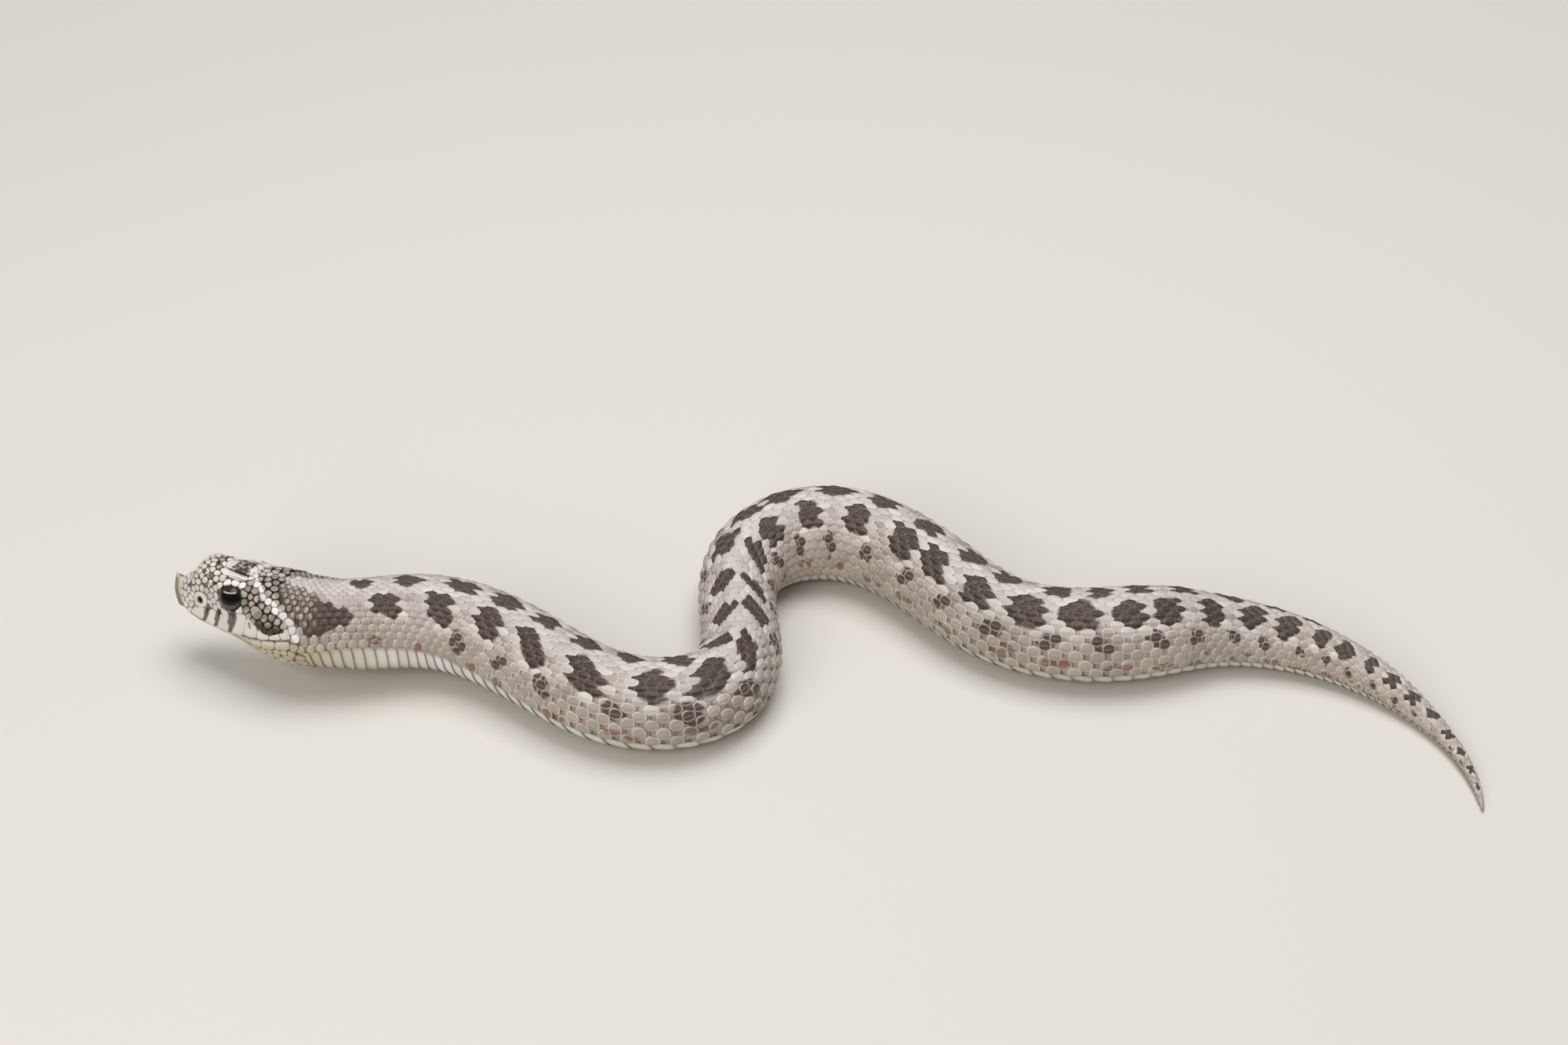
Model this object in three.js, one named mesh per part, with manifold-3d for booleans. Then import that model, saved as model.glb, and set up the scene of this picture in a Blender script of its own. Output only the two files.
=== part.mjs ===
// A young western hognose snake, life size, lying in an open S with its head a little raised.
// Millimetres, +Z up. The head faces -X, the tail ends at +X, and the floor is at z = 0.
import * as THREE from "three";
import { mergeVertices } from "three/addons/utils/BufferGeometryUtils.js";
import Module from "manifold-3d";

const wasm = await Module();
wasm.setup();

// Lengths along the back, measured from the tip of the snout.
const totalLength = 250;
const headEnd = 21.6;
const neckEnd = 48;
const ventAt = 198;
const tailSplit = 224;
const bodyLengths = 6;
const gap = 0.3;

// The spine: where the snout is, and the heading of the back, snout to tail, in degrees from +X
// at even steps of the length.
const snoutX = -92.5;
const snoutY = 5.55;
const headings = [-18, -18, 14, -27, -37, 8, 84, 88, 19, -37, -49, -14, 13, -11, -39, -65, -96];
const spineStep = 0.25;

// The head and neck are held clear of the floor, and the head is rolled to the animal's right.
const headLift = 5;
const liftEnd = 58;
const headRoll = THREE.MathUtils.degToRad(8);
const rollFrom = 20;
const rollEnd = 46;

// Body sections: distance from the snout and half of the width there.
const girth = [
  [26, 6.85], [40, 7.15], [60, 6.9], [84, 6.6], [101, 5.85], [111, 6.0], [127, 7.35],
  [148, 7.05], [166, 6.8], [182, 7.1], [190, 6.6], [198, 5.4], [208, 4.4], [222, 2.9],
  [234, 1.6], [243, 0.95], [250, 0.35],
];
const heightShare = 0.96;
const bellyShare = 0.94;
const bodyPower = 2.1;

// Head sections: distance from the snout, half width, and then heights over the spine of the
// crown, of the widest line and of the chin, with how square the upper and lower halves are.
const headSections = [
  [0.5, 1.5, 1.6, 0.1, -1.6, 2.0, 2.0],
  [1.4, 2.2, 2.4, -0.4, -3.0, 2.2, 2.0],
  [2.6, 2.8, 3.4, -1.0, -4.2, 2.4, 2.1],
  [4, 3.35, 5.35, -1.5, -4.7, 2.7, 2.1],
  [5.2, 3.74, 6.15, -1.7, -4.85, 2.8, 2.1],
  [6.4, 4.04, 6.15, -1.82, -4.95, 2.8, 2.1],
  [9, 4.6, 6.15, -1.9, -5.0, 2.8, 2.1],
  [12.5, 5.4, 6.3, -1.7, -5.25, 2.7, 2.1],
  [16, 6.35, 6.55, -1.2, -5.8, 2.4, 2.1],
  [19.5, 6.95, 6.7, -0.5, -6.1, 2.2, 2.1],
  [26, 6.85, 6.58, 0, -6.2, 2.1, 2.1],
];

// Soft rises and hollows of the head: where each is centred (distance from the snout and degrees
// from the top of the head), how far it reaches each way, and how far it lifts the surface.
const headForms = [
  { name: "canthus", s: 6.6, angle: 44, long: 3.4, wide: 11, rise: 0.3 },
  { name: "lore", s: 6.8, angle: 72, long: 2.0, wide: 13, rise: -0.35 },
  { name: "temple", s: 12.7, angle: 56, long: 1.5, wide: 20, rise: -0.4 },
  { name: "jaw muscle", s: 18, angle: 74, long: 3.2, wide: 22, rise: 0.35 },
];

// The line of the mouth, as distance from the snout and height over the spine, and the lip on it.
const mouthLine = [
  [-2, -2.6], [2.6, -2.6], [4.4, -2.65], [7.8, -2.8], [10.6, -2.55], [13.3, -1.95], [15.7, -1.05],
  [17.5, -0.3], [19, 0.25], [20.1, 0.6],
];
const lip = { bulge: 0.34, above: 0.95, depth: 1.05, fadeFrom: 16, fadeEnd: 20.5 };

// Under the mouth the lower jaw is set in from the lip: by what share of the half width, over
// what height, and between what distances from the snout this fades out.
const jawTuck = { share: 0.16, over: 0.6, fadeFrom: 10, fadeEnd: 17 };

// Lip plates follow one another along the lip, with a groove between each two.
const lipPlate = { from: 0.7, long: 1.9, ringsEach: 4, groove: 0.85 };

const headSides = 36;
const bodySides = 24;
const ringSpacing = 2.4;

// Belly scutes: one to a ring spacing, each rising to its rear edge and dropping to the next.
const scutes = { from: 21, rise: 0.22, rearEdge: 0.8, neckAngle: 110, bodyAngle: 126, soft: 7 };

// Smooth value of a table of rows at a distance along the back.
function tableAt(rows, s, column) {
  const last = rows.length - 1;
  if (s <= rows[0][0]) return rows[0][column];
  if (s >= rows[last][0]) return rows[last][column];
  const i = rows.findIndex((row) => row[0] > s) - 1;
  const slope = (k) => {
    const before = rows[Math.max(k - 1, 0)];
    const after = rows[Math.min(k + 1, last)];
    return (after[column] - before[column]) / (after[0] - before[0]);
  };
  const span = rows[i + 1][0] - rows[i][0];
  const t = (s - rows[i][0]) / span;
  const a = rows[i][column];
  const b = rows[i + 1][column];
  const rise = t * t * (3 - 2 * t);
  const startPart = t * (1 - t) * (1 - t) * span * slope(i);
  const endPart = t * t * (t - 1) * span * slope(i + 1);
  return a + (b - a) * rise + startPart + endPart;
}

function headingAt(s) {
  const last = headings.length - 1;
  const t = THREE.MathUtils.clamp((s / totalLength) * last, 0, last - 1e-9);
  const i = Math.floor(t);
  const f = t - i;
  const at = (k) => {
    if (k < 0) return 2 * headings[0] - headings[1];
    if (k > last) return 2 * headings[last] - headings[last - 1];
    return headings[k];
  };
  const [a, b, c, d] = [at(i - 1), at(i), at(i + 1), at(i + 2)];
  const degrees = b + 0.5 * f * (c - a + f * (2 * a - 5 * b + 4 * c - d + f * (3 * (b - c) + d - a)));
  return THREE.MathUtils.degToRad(degrees);
}

// The spine in plan, summed from its headings in small steps.
function makeSpine() {
  const points = [[snoutX, snoutY]];
  const count = Math.round(totalLength / spineStep);
  for (let i = 0; i < count; i++) {
    const heading = headingAt((i + 0.5) * spineStep);
    const [x, y] = points[i];
    points.push([x + Math.cos(heading) * spineStep, y + Math.sin(heading) * spineStep]);
  }
  return points;
}
const spine = makeSpine();

function easeDown(s, from, to) {
  const t = THREE.MathUtils.clamp((s - from) / (to - from), 0, 1);
  return (1 - t) * (1 - t) * (1 + 2 * t);
}

function axisHeight(s) {
  const half = tableAt(girth, Math.max(s, girth[0][0]), 1) * heightShare;
  return half * bellyShare + headLift * easeDown(s, 0, liftEnd);
}

// The frame of one section: its centre, the animal's left, and up, rolled on the head.
function frameAt(s) {
  const t = THREE.MathUtils.clamp(s, 0, totalLength) / spineStep;
  const i = Math.min(Math.floor(t), spine.length - 2);
  const heading = headingAt(s);
  const along = new THREE.Vector3(Math.cos(heading), Math.sin(heading), 0);
  const centre = new THREE.Vector3(
    THREE.MathUtils.lerp(spine[i][0], spine[i + 1][0], t - i),
    THREE.MathUtils.lerp(spine[i][1], spine[i + 1][1], t - i),
    axisHeight(s),
  );
  const left = new THREE.Vector3(Math.sin(heading), -Math.cos(heading), 0);
  const up = new THREE.Vector3(0, 0, 1);
  const roll = headRoll * easeDown(s, rollFrom, rollEnd);
  left.applyAxisAngle(along, -roll);
  up.applyAxisAngle(along, -roll);
  return { centre, along, left, up };
}

function placed(frame, sideways, upward) {
  return frame.centre.clone().addScaledVector(frame.left, sideways).addScaledVector(frame.up, upward);
}

// A rounded square: power 2 is a circle, more is squarer.
function rounded(value, power) {
  return Math.sign(value) * Math.abs(value) ** (2 / power);
}

function headRise(s, angle) {
  const turned = Math.abs(THREE.MathUtils.radToDeg(Math.atan2(Math.sin(angle), Math.cos(angle))));
  return headForms.reduce((sum, form) => {
    const along = (s - form.s) / form.long;
    const round = (turned - form.angle) / form.wide;
    return sum + form.rise * Math.exp(-along * along - round * round);
  }, 0);
}

// How far a belly scute stands off the skin at a place.
function scuteRise(s, angle) {
  if (s < scutes.from) return 0;
  const turned = Math.abs(THREE.MathUtils.radToDeg(Math.atan2(Math.sin(angle), Math.cos(angle))));
  const edge = THREE.MathUtils.lerp(scutes.bodyAngle, scutes.neckAngle, easeDown(s, rollFrom, liftEnd));
  const share = (s - scutes.from) / ringSpacing;
  const t = share - Math.floor(share);
  const ramp = t < scutes.rearEdge ? t / scutes.rearEdge : (1 - t) / (1 - scutes.rearEdge);
  const thin = Math.min(1, tableAt(girth, s, 1) / girth[0][1]);
  return scutes.rise * thin * ramp * THREE.MathUtils.smoothstep(turned, edge - scutes.soft, edge);
}

// One section at distance s: the angle runs from the top of the back over the animal's left.
function sectionPoint(s, angle) {
  const frame = frameAt(s);
  const sine = Math.sin(angle);
  const cosine = Math.cos(angle);
  if (s < girth[0][0]) {
    const [half, top, wide, chin, upper, lower] = [1, 2, 3, 4, 5, 6].map((k) => tableAt(headSections, s, k));
    const power = cosine > 0 ? upper : lower;
    const reach = cosine > 0 ? top - wide : wide - chin;
    const upward = wide + reach * rounded(cosine, power);
    const overLip = (upward - tableAt(mouthLine, s, 1) - lip.above) / lip.depth;
    const share = (s - lipPlate.from) / lipPlate.long;
    const fromGroove = Math.abs(share - Math.round(share)) * lipPlate.ringsEach;
    const plump = 1 - lipPlate.groove * Math.max(0, 1 - fromGroove);
    const swell = lip.bulge * plump * Math.exp(-overLip * overLip) * easeDown(s, lip.fadeFrom, lip.fadeEnd);
    const under = THREE.MathUtils.smoothstep(tableAt(mouthLine, s, 1) - upward, 0, jawTuck.over);
    const inset = 1 - jawTuck.share * under * easeDown(s, jawTuck.fadeFrom, jawTuck.fadeEnd);
    const rise = headRise(s, angle) + scuteRise(s, angle);
    return placed(frame, inset * half * rounded(sine, power) + (swell + rise) * sine, upward + rise * cosine);
  }
  const half = tableAt(girth, s, 1);
  const height = half * heightShare;
  const rise = scuteRise(s, angle);
  const upward = Math.max(height * rounded(cosine, bodyPower) + rise * cosine, -height * bellyShare);
  return placed(frame, half * rounded(sine, bodyPower) + rise * sine, upward);
}

// A closed body from rings of points, each ring running the same way, with flat fans at its ends.
function loft(rings) {
  const sides = rings[0].length;
  const vertices = rings.flat().flatMap((p) => [p.x, p.y, p.z]);
  const middle = (ring) => ring.reduce((sum, p) => sum.add(p), new THREE.Vector3()).divideScalar(sides);
  const front = middle(rings[0]);
  const back = middle(rings[rings.length - 1]);
  vertices.push(front.x, front.y, front.z, back.x, back.y, back.z);
  const frontIndex = rings.length * sides;
  const faces = [];
  for (let j = 0; j < sides; j++) {
    const k = (j + 1) % sides;
    for (let i = 0; i + 1 < rings.length; i++) {
      const here = i * sides;
      const next = here + sides;
      faces.push(here + j, next + k, next + j, here + j, here + k, next + k);
    }
    const last = (rings.length - 1) * sides;
    faces.push(frontIndex, k, j, frontIndex + 1, last + j, last + k);
  }
  const geometry = new THREE.BufferGeometry();
  geometry.setAttribute("position", new THREE.Float32BufferAttribute(vertices, 3));
  geometry.setIndex(faces);
  return geometry;
}

function solidOf(geometry) {
  const bare = geometry.clone();
  bare.deleteAttribute("normal");
  bare.deleteAttribute("uv");
  const merged = mergeVertices(bare, 1e-4);
  return new wasm.Manifold(
    new wasm.Mesh({
      numProp: 3,
      vertProperties: new Float32Array(merged.attributes.position.array),
      triVerts: new Uint32Array(merged.index.array),
    }),
  );
}

function geometryOf(solid) {
  const largest = solid.decompose().sort((a, b) => b.volume() - a.volume())[0];
  const mesh = largest.getMesh();
  const geometry = new THREE.BufferGeometry();
  geometry.setAttribute("position", new THREE.BufferAttribute(Float32Array.from(mesh.vertProperties), 3));
  geometry.setIndex(new THREE.BufferAttribute(Uint32Array.from(mesh.triVerts), 1));
  return geometry;
}

function ringAt(s, sides) {
  return Array.from({ length: sides }, (_, j) => sectionPoint(s, (j / sides) * 2 * Math.PI));
}

// A length of the body between two distances from the snout, with rings at its scutes' edges.
function bodyLength(from, to) {
  const clearance = 0.3;
  const places = [from];
  const first = Math.floor((from - scutes.from) / ringSpacing);
  for (let k = first; scutes.from + k * ringSpacing < to; k++) {
    for (const share of [0, scutes.rearEdge]) {
      const s = scutes.from + (k + share) * ringSpacing;
      if (s > from + clearance && s < to - clearance) places.push(s);
    }
  }
  places.push(to);
  return loft(places.map((s) => ringAt(s, bodySides)));
}

// ---- The head ----

// Places measured in the head: distance from the snout, animal's left, and up from the spine.
const eyeRadius = 1.95;
const eyeSeat = { s: 10.5, sideways: 3.5, upward: 2.98 };
const eyeAxis = { sideways: 0.95, upward: 0.25 };
const eyeRing = { outward: 0.62, radius: 1.98, thick: 0.42 };
const nostril = { s: 4.75, sideways: 3.15, upward: 0.4, radius: 0.45 };

// Shields of the crown: how far each rises, and half of its outline or the whole of it, as
// distances from the snout and degrees from the top of the head.
const shields = [
  {
    name: "frontal",
    rise: 0.2,
    outline: [
      [8, 0], [8.3, 9], [9.6, 12], [11.2, 10.5], [12.5, 5],
      [13, 0], [12.5, -5], [11.2, -10.5], [9.6, -12], [8.3, -9],
    ],
  },
  {
    name: "supraocular",
    rise: 0.34,
    outline: [
      [7.8, 13], [7.8, 22], [8.6, 31], [10.2, 35], [12, 33], [12.7, 25], [12, 15], [11.3, 13.5], [9.6, 15],
    ],
  },
  {
    name: "parietal",
    rise: 0.22,
    outline: [[13.4, 1.2], [12.9, 6.5], [12.2, 12.5], [13.1, 23], [14.7, 27], [16.5, 21], [17.3, 10], [16.7, 1.2]],
  },
];
const jawBack = [[20.35, -1.5], [20.6, -8.2]];

// A place of the head. Ahead of the spine's first point it runs straight on.
function headPlace(s, sideways, upward) {
  const frame = frameAt(s);
  return placed(frame, sideways, upward).addScaledVector(frame.along, Math.min(s, 0));
}

function ellipsoid(centre, along, sideways, upward, detail) {
  const geometry = new THREE.SphereGeometry(1, detail, Math.round(detail * 0.6));
  geometry.scale(along, sideways, upward);
  const frame = frameAt(5);
  const turn = new THREE.Matrix4().makeBasis(frame.along, frame.left.clone().negate(), frame.up);
  geometry.applyMatrix4(turn);
  geometry.translate(centre.x, centre.y, centre.z);
  return solidOf(geometry);
}

// A place over the skin, by a height along the skin's own outward direction.
function overSkin(s, angle, height) {
  const step = 0.05;
  const along = sectionPoint(s + step, angle).sub(sectionPoint(s - step, angle));
  const round = sectionPoint(s, angle + step).sub(sectionPoint(s, angle - step));
  return sectionPoint(s, angle).addScaledVector(round.cross(along).normalize(), height);
}

// A shield lying on the skin: its outline sunk a little into it, with a bevel up to its top.
function makeShield({ rise, outline }, side) {
  const bevel = 0.82;
  const sunk = 0.3;
  const middle = [0, 1].map((k) => outline.reduce((sum, point) => sum + point[k], 0) / outline.length);
  const at = (point, share, height) => {
    const [s, degrees] = [0, 1].map((k) => THREE.MathUtils.lerp(middle[k], point[k], share));
    return overSkin(s, THREE.MathUtils.degToRad(side * degrees), height);
  };
  const ringOf = (share, height) => outline.map((point) => at(point, share, height));
  const rings = [ringOf(bevel, -sunk), ringOf(1, -sunk), ringOf(1, 0), ringOf(bevel, rise), ringOf(0.4, rise)];
  return solidOf(loft(side > 0 ? rings : rings.reverse()));
}

// The raised ring of scales round the eye.
function makeEyeRing(seat, side) {
  const frame = frameAt(eyeSeat.s);
  const axis = new THREE.Vector3()
    .addScaledVector(frame.left, side * eyeAxis.sideways)
    .addScaledVector(frame.up, eyeAxis.upward)
    .normalize();
  const geometry = new THREE.TorusGeometry(eyeRing.radius, eyeRing.thick, 8, 24);
  const turn = new THREE.Quaternion().setFromUnitVectors(new THREE.Vector3(0, 0, 1), axis);
  geometry.applyQuaternion(turn);
  const centre = seat.clone().addScaledVector(axis, eyeRing.outward);
  geometry.translate(centre.x, centre.y, centre.z);
  return solidOf(geometry);
}

// The upturned shovel plate of the snout: sections along its front edge, tip to lip.
const rostral = [
  { s: -0.6, upward: 2.15, half: 0.3, thick: 0.9 },
  { s: -0.6, upward: 1.5, half: 1.05, thick: 1.4 },
  { s: -0.5, upward: 0.5, half: 1.7, thick: 1.7 },
  { s: -0.3, upward: -0.5, half: 2.0, thick: 1.8 },
  { s: -0.1, upward: -1.3, half: 2.1, thick: 1.9 },
  { s: 0.15, upward: -2.0, half: 1.9, thick: 2.1 },
  { s: 0.55, upward: -2.45, half: 1.4, thick: 2.1 },
];
function makeRostral() {
  const sides = 14;
  const rings = rostral.map(({ s, upward, half, thick }) =>
    Array.from({ length: sides }, (_, j) => {
      const angle = (j / sides) * 2 * Math.PI;
      return headPlace(s + thick * (1 + Math.cos(angle)) * 0.5, half * Math.sin(angle), upward);
    }),
  );
  return solidOf(loft(rings));
}

// The thin cut between the upper head and the lower jaw, seen from the side and run through.
function makeMouthCut() {
  const fall = (s) => axisHeight(s) - axisHeight(0);
  const course = [...mouthLine, ...jawBack].map(([s, upward]) => [s, upward + fall(Math.max(s, 0))]);
  const offset = (k, side) => {
    const a = course[Math.max(k - 1, 0)];
    const b = course[Math.min(k + 1, course.length - 1)];
    const length = Math.hypot(b[0] - a[0], b[1] - a[1]);
    const shift = (side * gap) / 2;
    return [course[k][0] - ((b[1] - a[1]) / length) * shift, course[k][1] + ((b[0] - a[0]) / length) * shift];
  };
  const upper = course.map((_, k) => offset(k, 1));
  const lower = course.map((_, k) => offset(k, -1)).reverse();
  const outline = new THREE.Shape([...upper, ...lower].map(([x, y]) => new THREE.Vector2(x, y)));
  const reach = 12;
  const geometry = new THREE.ExtrudeGeometry(outline, { depth: 2 * reach, bevelEnabled: false });
  geometry.translate(0, 0, -reach);
  const frame = frameAt(0);
  const turn = new THREE.Matrix4().makeBasis(frame.along, frame.up, frame.left.clone());
  geometry.applyMatrix4(turn);
  geometry.translate(frame.centre.x, frame.centre.y, frame.centre.z);
  return solidOf(geometry);
}

function makeHead() {
  const places = [headSections[0][0]];
  const step = lipPlate.long / lipPlate.ringsEach;
  for (let s = lipPlate.from; s < headEnd - gap; s += step) places.push(s);
  places.push(headEnd - gap / 2);
  let head = solidOf(loft(places.map((s) => ringAt(s, headSides)))).add(makeRostral());
  for (const shield of shields) {
    head = head.add(makeShield(shield, 1));
    if (shield.name !== "frontal") head = head.add(makeShield(shield, -1));
  }
  const eyes = {};
  for (const [name, side] of [["left", 1], ["right", -1]]) {
    const seat = headPlace(eyeSeat.s, side * eyeSeat.sideways, eyeSeat.upward);
    head = head.add(makeEyeRing(seat, side));
    const socket = eyeRadius + gap;
    head = head.subtract(ellipsoid(seat, socket, socket, socket, 20));
    const hole = headPlace(nostril.s, side * nostril.sideways, nostril.upward);
    head = head.subtract(ellipsoid(hole, nostril.radius, nostril.radius * 1.4, nostril.radius * 0.8, 8));
    eyes[name] = ellipsoid(seat, eyeRadius, eyeRadius, eyeRadius, 20);
  }
  const pieces = head.subtract(makeMouthCut()).decompose();
  pieces.sort((a, b) => b.volume() - a.volume());
  return { upper: pieces[0], jaw: pieces[1], eyes };
}

const group = new THREE.Group();
function addPart(name, geometry, color, roughness) {
  const mesh = new THREE.Mesh(geometry, new THREE.MeshStandardMaterial({ color, roughness, metalness: 0 }));
  mesh.name = name;
  group.add(mesh);
}

const paleScale = 0xb9aeaa;
const creamScale = 0xd8cfbf;
const eyeBlack = 0x14110f;

const head = makeHead();
addPart("head", geometryOf(head.upper), paleScale, 0.6);
addPart("lower_jaw", geometryOf(head.jaw), creamScale, 0.6);
addPart("eye_left", geometryOf(head.eyes.left), eyeBlack, 0.1);
addPart("eye_right", geometryOf(head.eyes.right), eyeBlack, 0.1);
addPart("neck", bodyLength(headEnd + gap / 2, neckEnd - gap / 2), paleScale, 0.6);
const stretch = (ventAt - neckEnd) / bodyLengths;
for (let i = 0; i < bodyLengths; i++) {
  const from = neckEnd + stretch * i + gap / 2;
  const to = neckEnd + stretch * (i + 1) - gap / 2;
  addPart("body_" + (i + 1), bodyLength(from, to), paleScale, 0.6);
}
addPart("tail_base", bodyLength(ventAt + gap / 2, tailSplit - gap / 2), paleScale, 0.6);
addPart("tail_tip", bodyLength(tailSplit + gap / 2, totalLength), paleScale, 0.6);

export default group;
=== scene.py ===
import math
import bpy
import numpy as np
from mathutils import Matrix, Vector


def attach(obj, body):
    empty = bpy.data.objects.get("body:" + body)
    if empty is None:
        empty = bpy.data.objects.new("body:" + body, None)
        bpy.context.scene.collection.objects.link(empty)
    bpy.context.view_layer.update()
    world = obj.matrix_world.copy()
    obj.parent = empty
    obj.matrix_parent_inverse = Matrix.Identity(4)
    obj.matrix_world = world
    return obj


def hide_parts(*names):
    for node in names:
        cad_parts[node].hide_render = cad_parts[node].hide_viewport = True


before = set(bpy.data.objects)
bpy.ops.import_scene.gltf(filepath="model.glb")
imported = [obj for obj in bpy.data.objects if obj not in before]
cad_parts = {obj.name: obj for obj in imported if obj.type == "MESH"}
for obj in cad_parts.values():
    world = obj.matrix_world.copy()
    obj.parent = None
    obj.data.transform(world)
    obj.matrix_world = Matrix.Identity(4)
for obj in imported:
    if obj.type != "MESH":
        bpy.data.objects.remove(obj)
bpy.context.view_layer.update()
mm = 0.001
scene = bpy.context.scene

# The animal's form, in millimetres, as distance from the snout and angle round the body.
body = {
    "length": 250.0,
    "snout": (-92.5, 5.55),
    "headings": (-18, -18, 14, -27, -37, 8, 84, 88, 19, -37, -49, -14, 13, -11, -39, -65, -96),
    "spineStep": 0.25,
    "headLift": 5.0,
    "liftEnd": 58.0,
    "headRoll": 8.0,
    "rollFrom": 20.0,
    "rollEnd": 46.0,
    "heightShare": 0.96,
    "bellyShare": 0.94,
    "power": 2.1,
    "coatDepth": 0.36,  # how far the skin lies under the tops of its scales
    # distance, angle where the rows of keeled scales end and the belly scutes begin
    "scuteEdge": np.array([
        (15, 109), (21, 102), (26, 92), (34, 92), (50, 96), (70, 108), (90, 115), (145, 115),
        (198, 112), (250, 106),
    ]),
    # distance, half width
    "girth": np.array([
        (26, 6.85), (40, 7.15), (60, 6.9), (84, 6.6), (101, 5.85), (111, 6.0), (127, 7.35),
        (148, 7.05), (166, 6.8), (182, 7.1), (190, 6.6), (198, 5.4), (208, 4.4), (222, 2.9),
        (234, 1.6), (243, 0.95), (250, 0.35),
    ]),
}

head = {
    # distance, half width, crown, widest line, chin, squareness above and below
    "sections": np.array([
        (0.5, 1.5, 1.6, 0.1, -1.6, 2.0, 2.0),
        (1.4, 2.2, 2.4, -0.4, -3.0, 2.2, 2.0),
        (2.6, 2.8, 3.4, -1.0, -4.2, 2.4, 2.1),
        (4, 3.35, 5.35, -1.5, -4.7, 2.7, 2.1),
        (5.2, 3.74, 6.15, -1.7, -4.85, 2.8, 2.1),
        (6.4, 4.04, 6.15, -1.82, -4.95, 2.8, 2.1),
        (9, 4.6, 6.15, -1.9, -5.0, 2.8, 2.1),
        (12.5, 5.4, 6.3, -1.7, -5.25, 2.7, 2.1),
        (16, 6.35, 6.55, -1.2, -5.8, 2.4, 2.1),
        (19.5, 6.95, 6.7, -0.5, -6.1, 2.2, 2.1),
        (26, 6.85, 6.58, 0, -6.2, 2.1, 2.1),
    ]),
    # distance, angle, reach along, reach round, rise
    "forms": (
        (6.6, 44, 3.4, 11, 0.3),  # canthus
        (6.8, 72, 2.0, 13, -0.35),  # lore
        (12.7, 56, 1.5, 20, -0.4),  # temple
        (18, 74, 3.2, 22, 0.35),  # jaw muscle
    ),
    "mouth": np.array([
        (-2, -2.6), (2.6, -2.6), (4.4, -2.65), (7.8, -2.8), (10.6, -2.55), (13.3, -1.95), (15.7, -1.05),
        (17.5, -0.3), (19, 0.25), (20.1, 0.6),
    ]),
    # under the mouth the lower jaw is set in by this share of the half width
    "tuck": {"share": 0.16, "over": 0.6, "fadeFrom": 10, "fadeEnd": 17},
    "lip": {"bulge": 0.3, "above": 0.95, "depth": 1.05, "fadeFrom": 16, "fadeEnd": 20.5},
    "end": 26.0,
}


def tableAt(rows, s, column):
    x, y = rows[:, 0], rows[:, column]
    last = len(x) - 1
    i = np.clip(np.searchsorted(x, s, side="right") - 1, 0, last - 1)
    low, high = np.maximum(np.arange(last + 1) - 1, 0), np.minimum(np.arange(last + 1) + 1, last)
    slope = (y[high] - y[low]) / (x[high] - x[low])
    span = x[i + 1] - x[i]
    t = np.clip((s - x[i]) / span, 0, 1)
    rise = y[i] + (y[i + 1] - y[i]) * t * t * (3 - 2 * t)
    return rise + t * (1 - t) ** 2 * span * slope[i] + t * t * (t - 1) * span * slope[i + 1]


def easeDown(s, start, end):
    t = np.clip((s - start) / (end - start), 0, 1)
    return (1 - t) ** 2 * (1 + 2 * t)


def easeUp(s, start, end):
    return 1 - easeDown(s, start, end)


def headingAt(s):
    knots = body["headings"]
    last = len(knots) - 1
    t = np.clip(s / body["length"] * last, 0, last - 1e-9)
    i = t.astype(int)
    f = t - i
    h = np.array([2 * knots[0] - knots[1], *knots, 2 * knots[-1] - knots[-2]], float)
    a, b, c, d = h[i], h[i + 1], h[i + 2], h[i + 3]
    return np.radians(b + 0.5 * f * (c - a + f * (2 * a - 5 * b + 4 * c - d + f * (3 * (b - c) + d - a))))


def makeSpine():
    count = round(body["length"] / body["spineStep"])
    h = headingAt((np.arange(count) + 0.5) * body["spineStep"])
    steps = np.stack([np.cos(h), np.sin(h)], 1) * body["spineStep"]
    return np.vstack([body["snout"], np.array(body["snout"]) + np.cumsum(steps, 0)])


spine = makeSpine()
spineAt = np.arange(len(spine)) * body["spineStep"]


def axisHeight(s):
    half = tableAt(body["girth"], np.maximum(s, head["end"]), 1) * body["heightShare"]
    return half * body["bellyShare"] + body["headLift"] * easeDown(s, 0, body["liftEnd"])


def sectionFrame(s):
    h = headingAt(s)
    zero, one = np.zeros_like(h), np.ones_like(h)
    floorX, floorY = (np.interp(s, spineAt, spine[:, k]) for k in (0, 1))
    centre = np.stack([floorX, floorY, axisHeight(s)], -1)
    along = np.stack([np.cos(h), np.sin(h), zero], -1)
    centre = centre + np.minimum(s, 0)[..., None] * along
    left = np.stack([np.sin(h), -np.cos(h), zero], -1)
    up = np.stack([zero, zero, one], -1)
    roll = (math.radians(body["headRoll"]) * easeDown(s, body["rollFrom"], body["rollEnd"]))[..., None]
    turned = [v * np.cos(roll) - np.cross(along, v) * np.sin(roll) for v in (left, up)]
    return centre, along, turned[0], turned[1]


def rounded(value, power):
    return np.sign(value) * np.abs(value) ** (2 / power)


def headRise(s, a):
    turned = np.degrees(np.abs(np.arctan2(np.sin(a), np.cos(a))))
    return sum(r * np.exp(-((s - c) / l) ** 2 - ((turned - g) / w) ** 2) for c, g, l, w, r in head["forms"])


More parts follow.
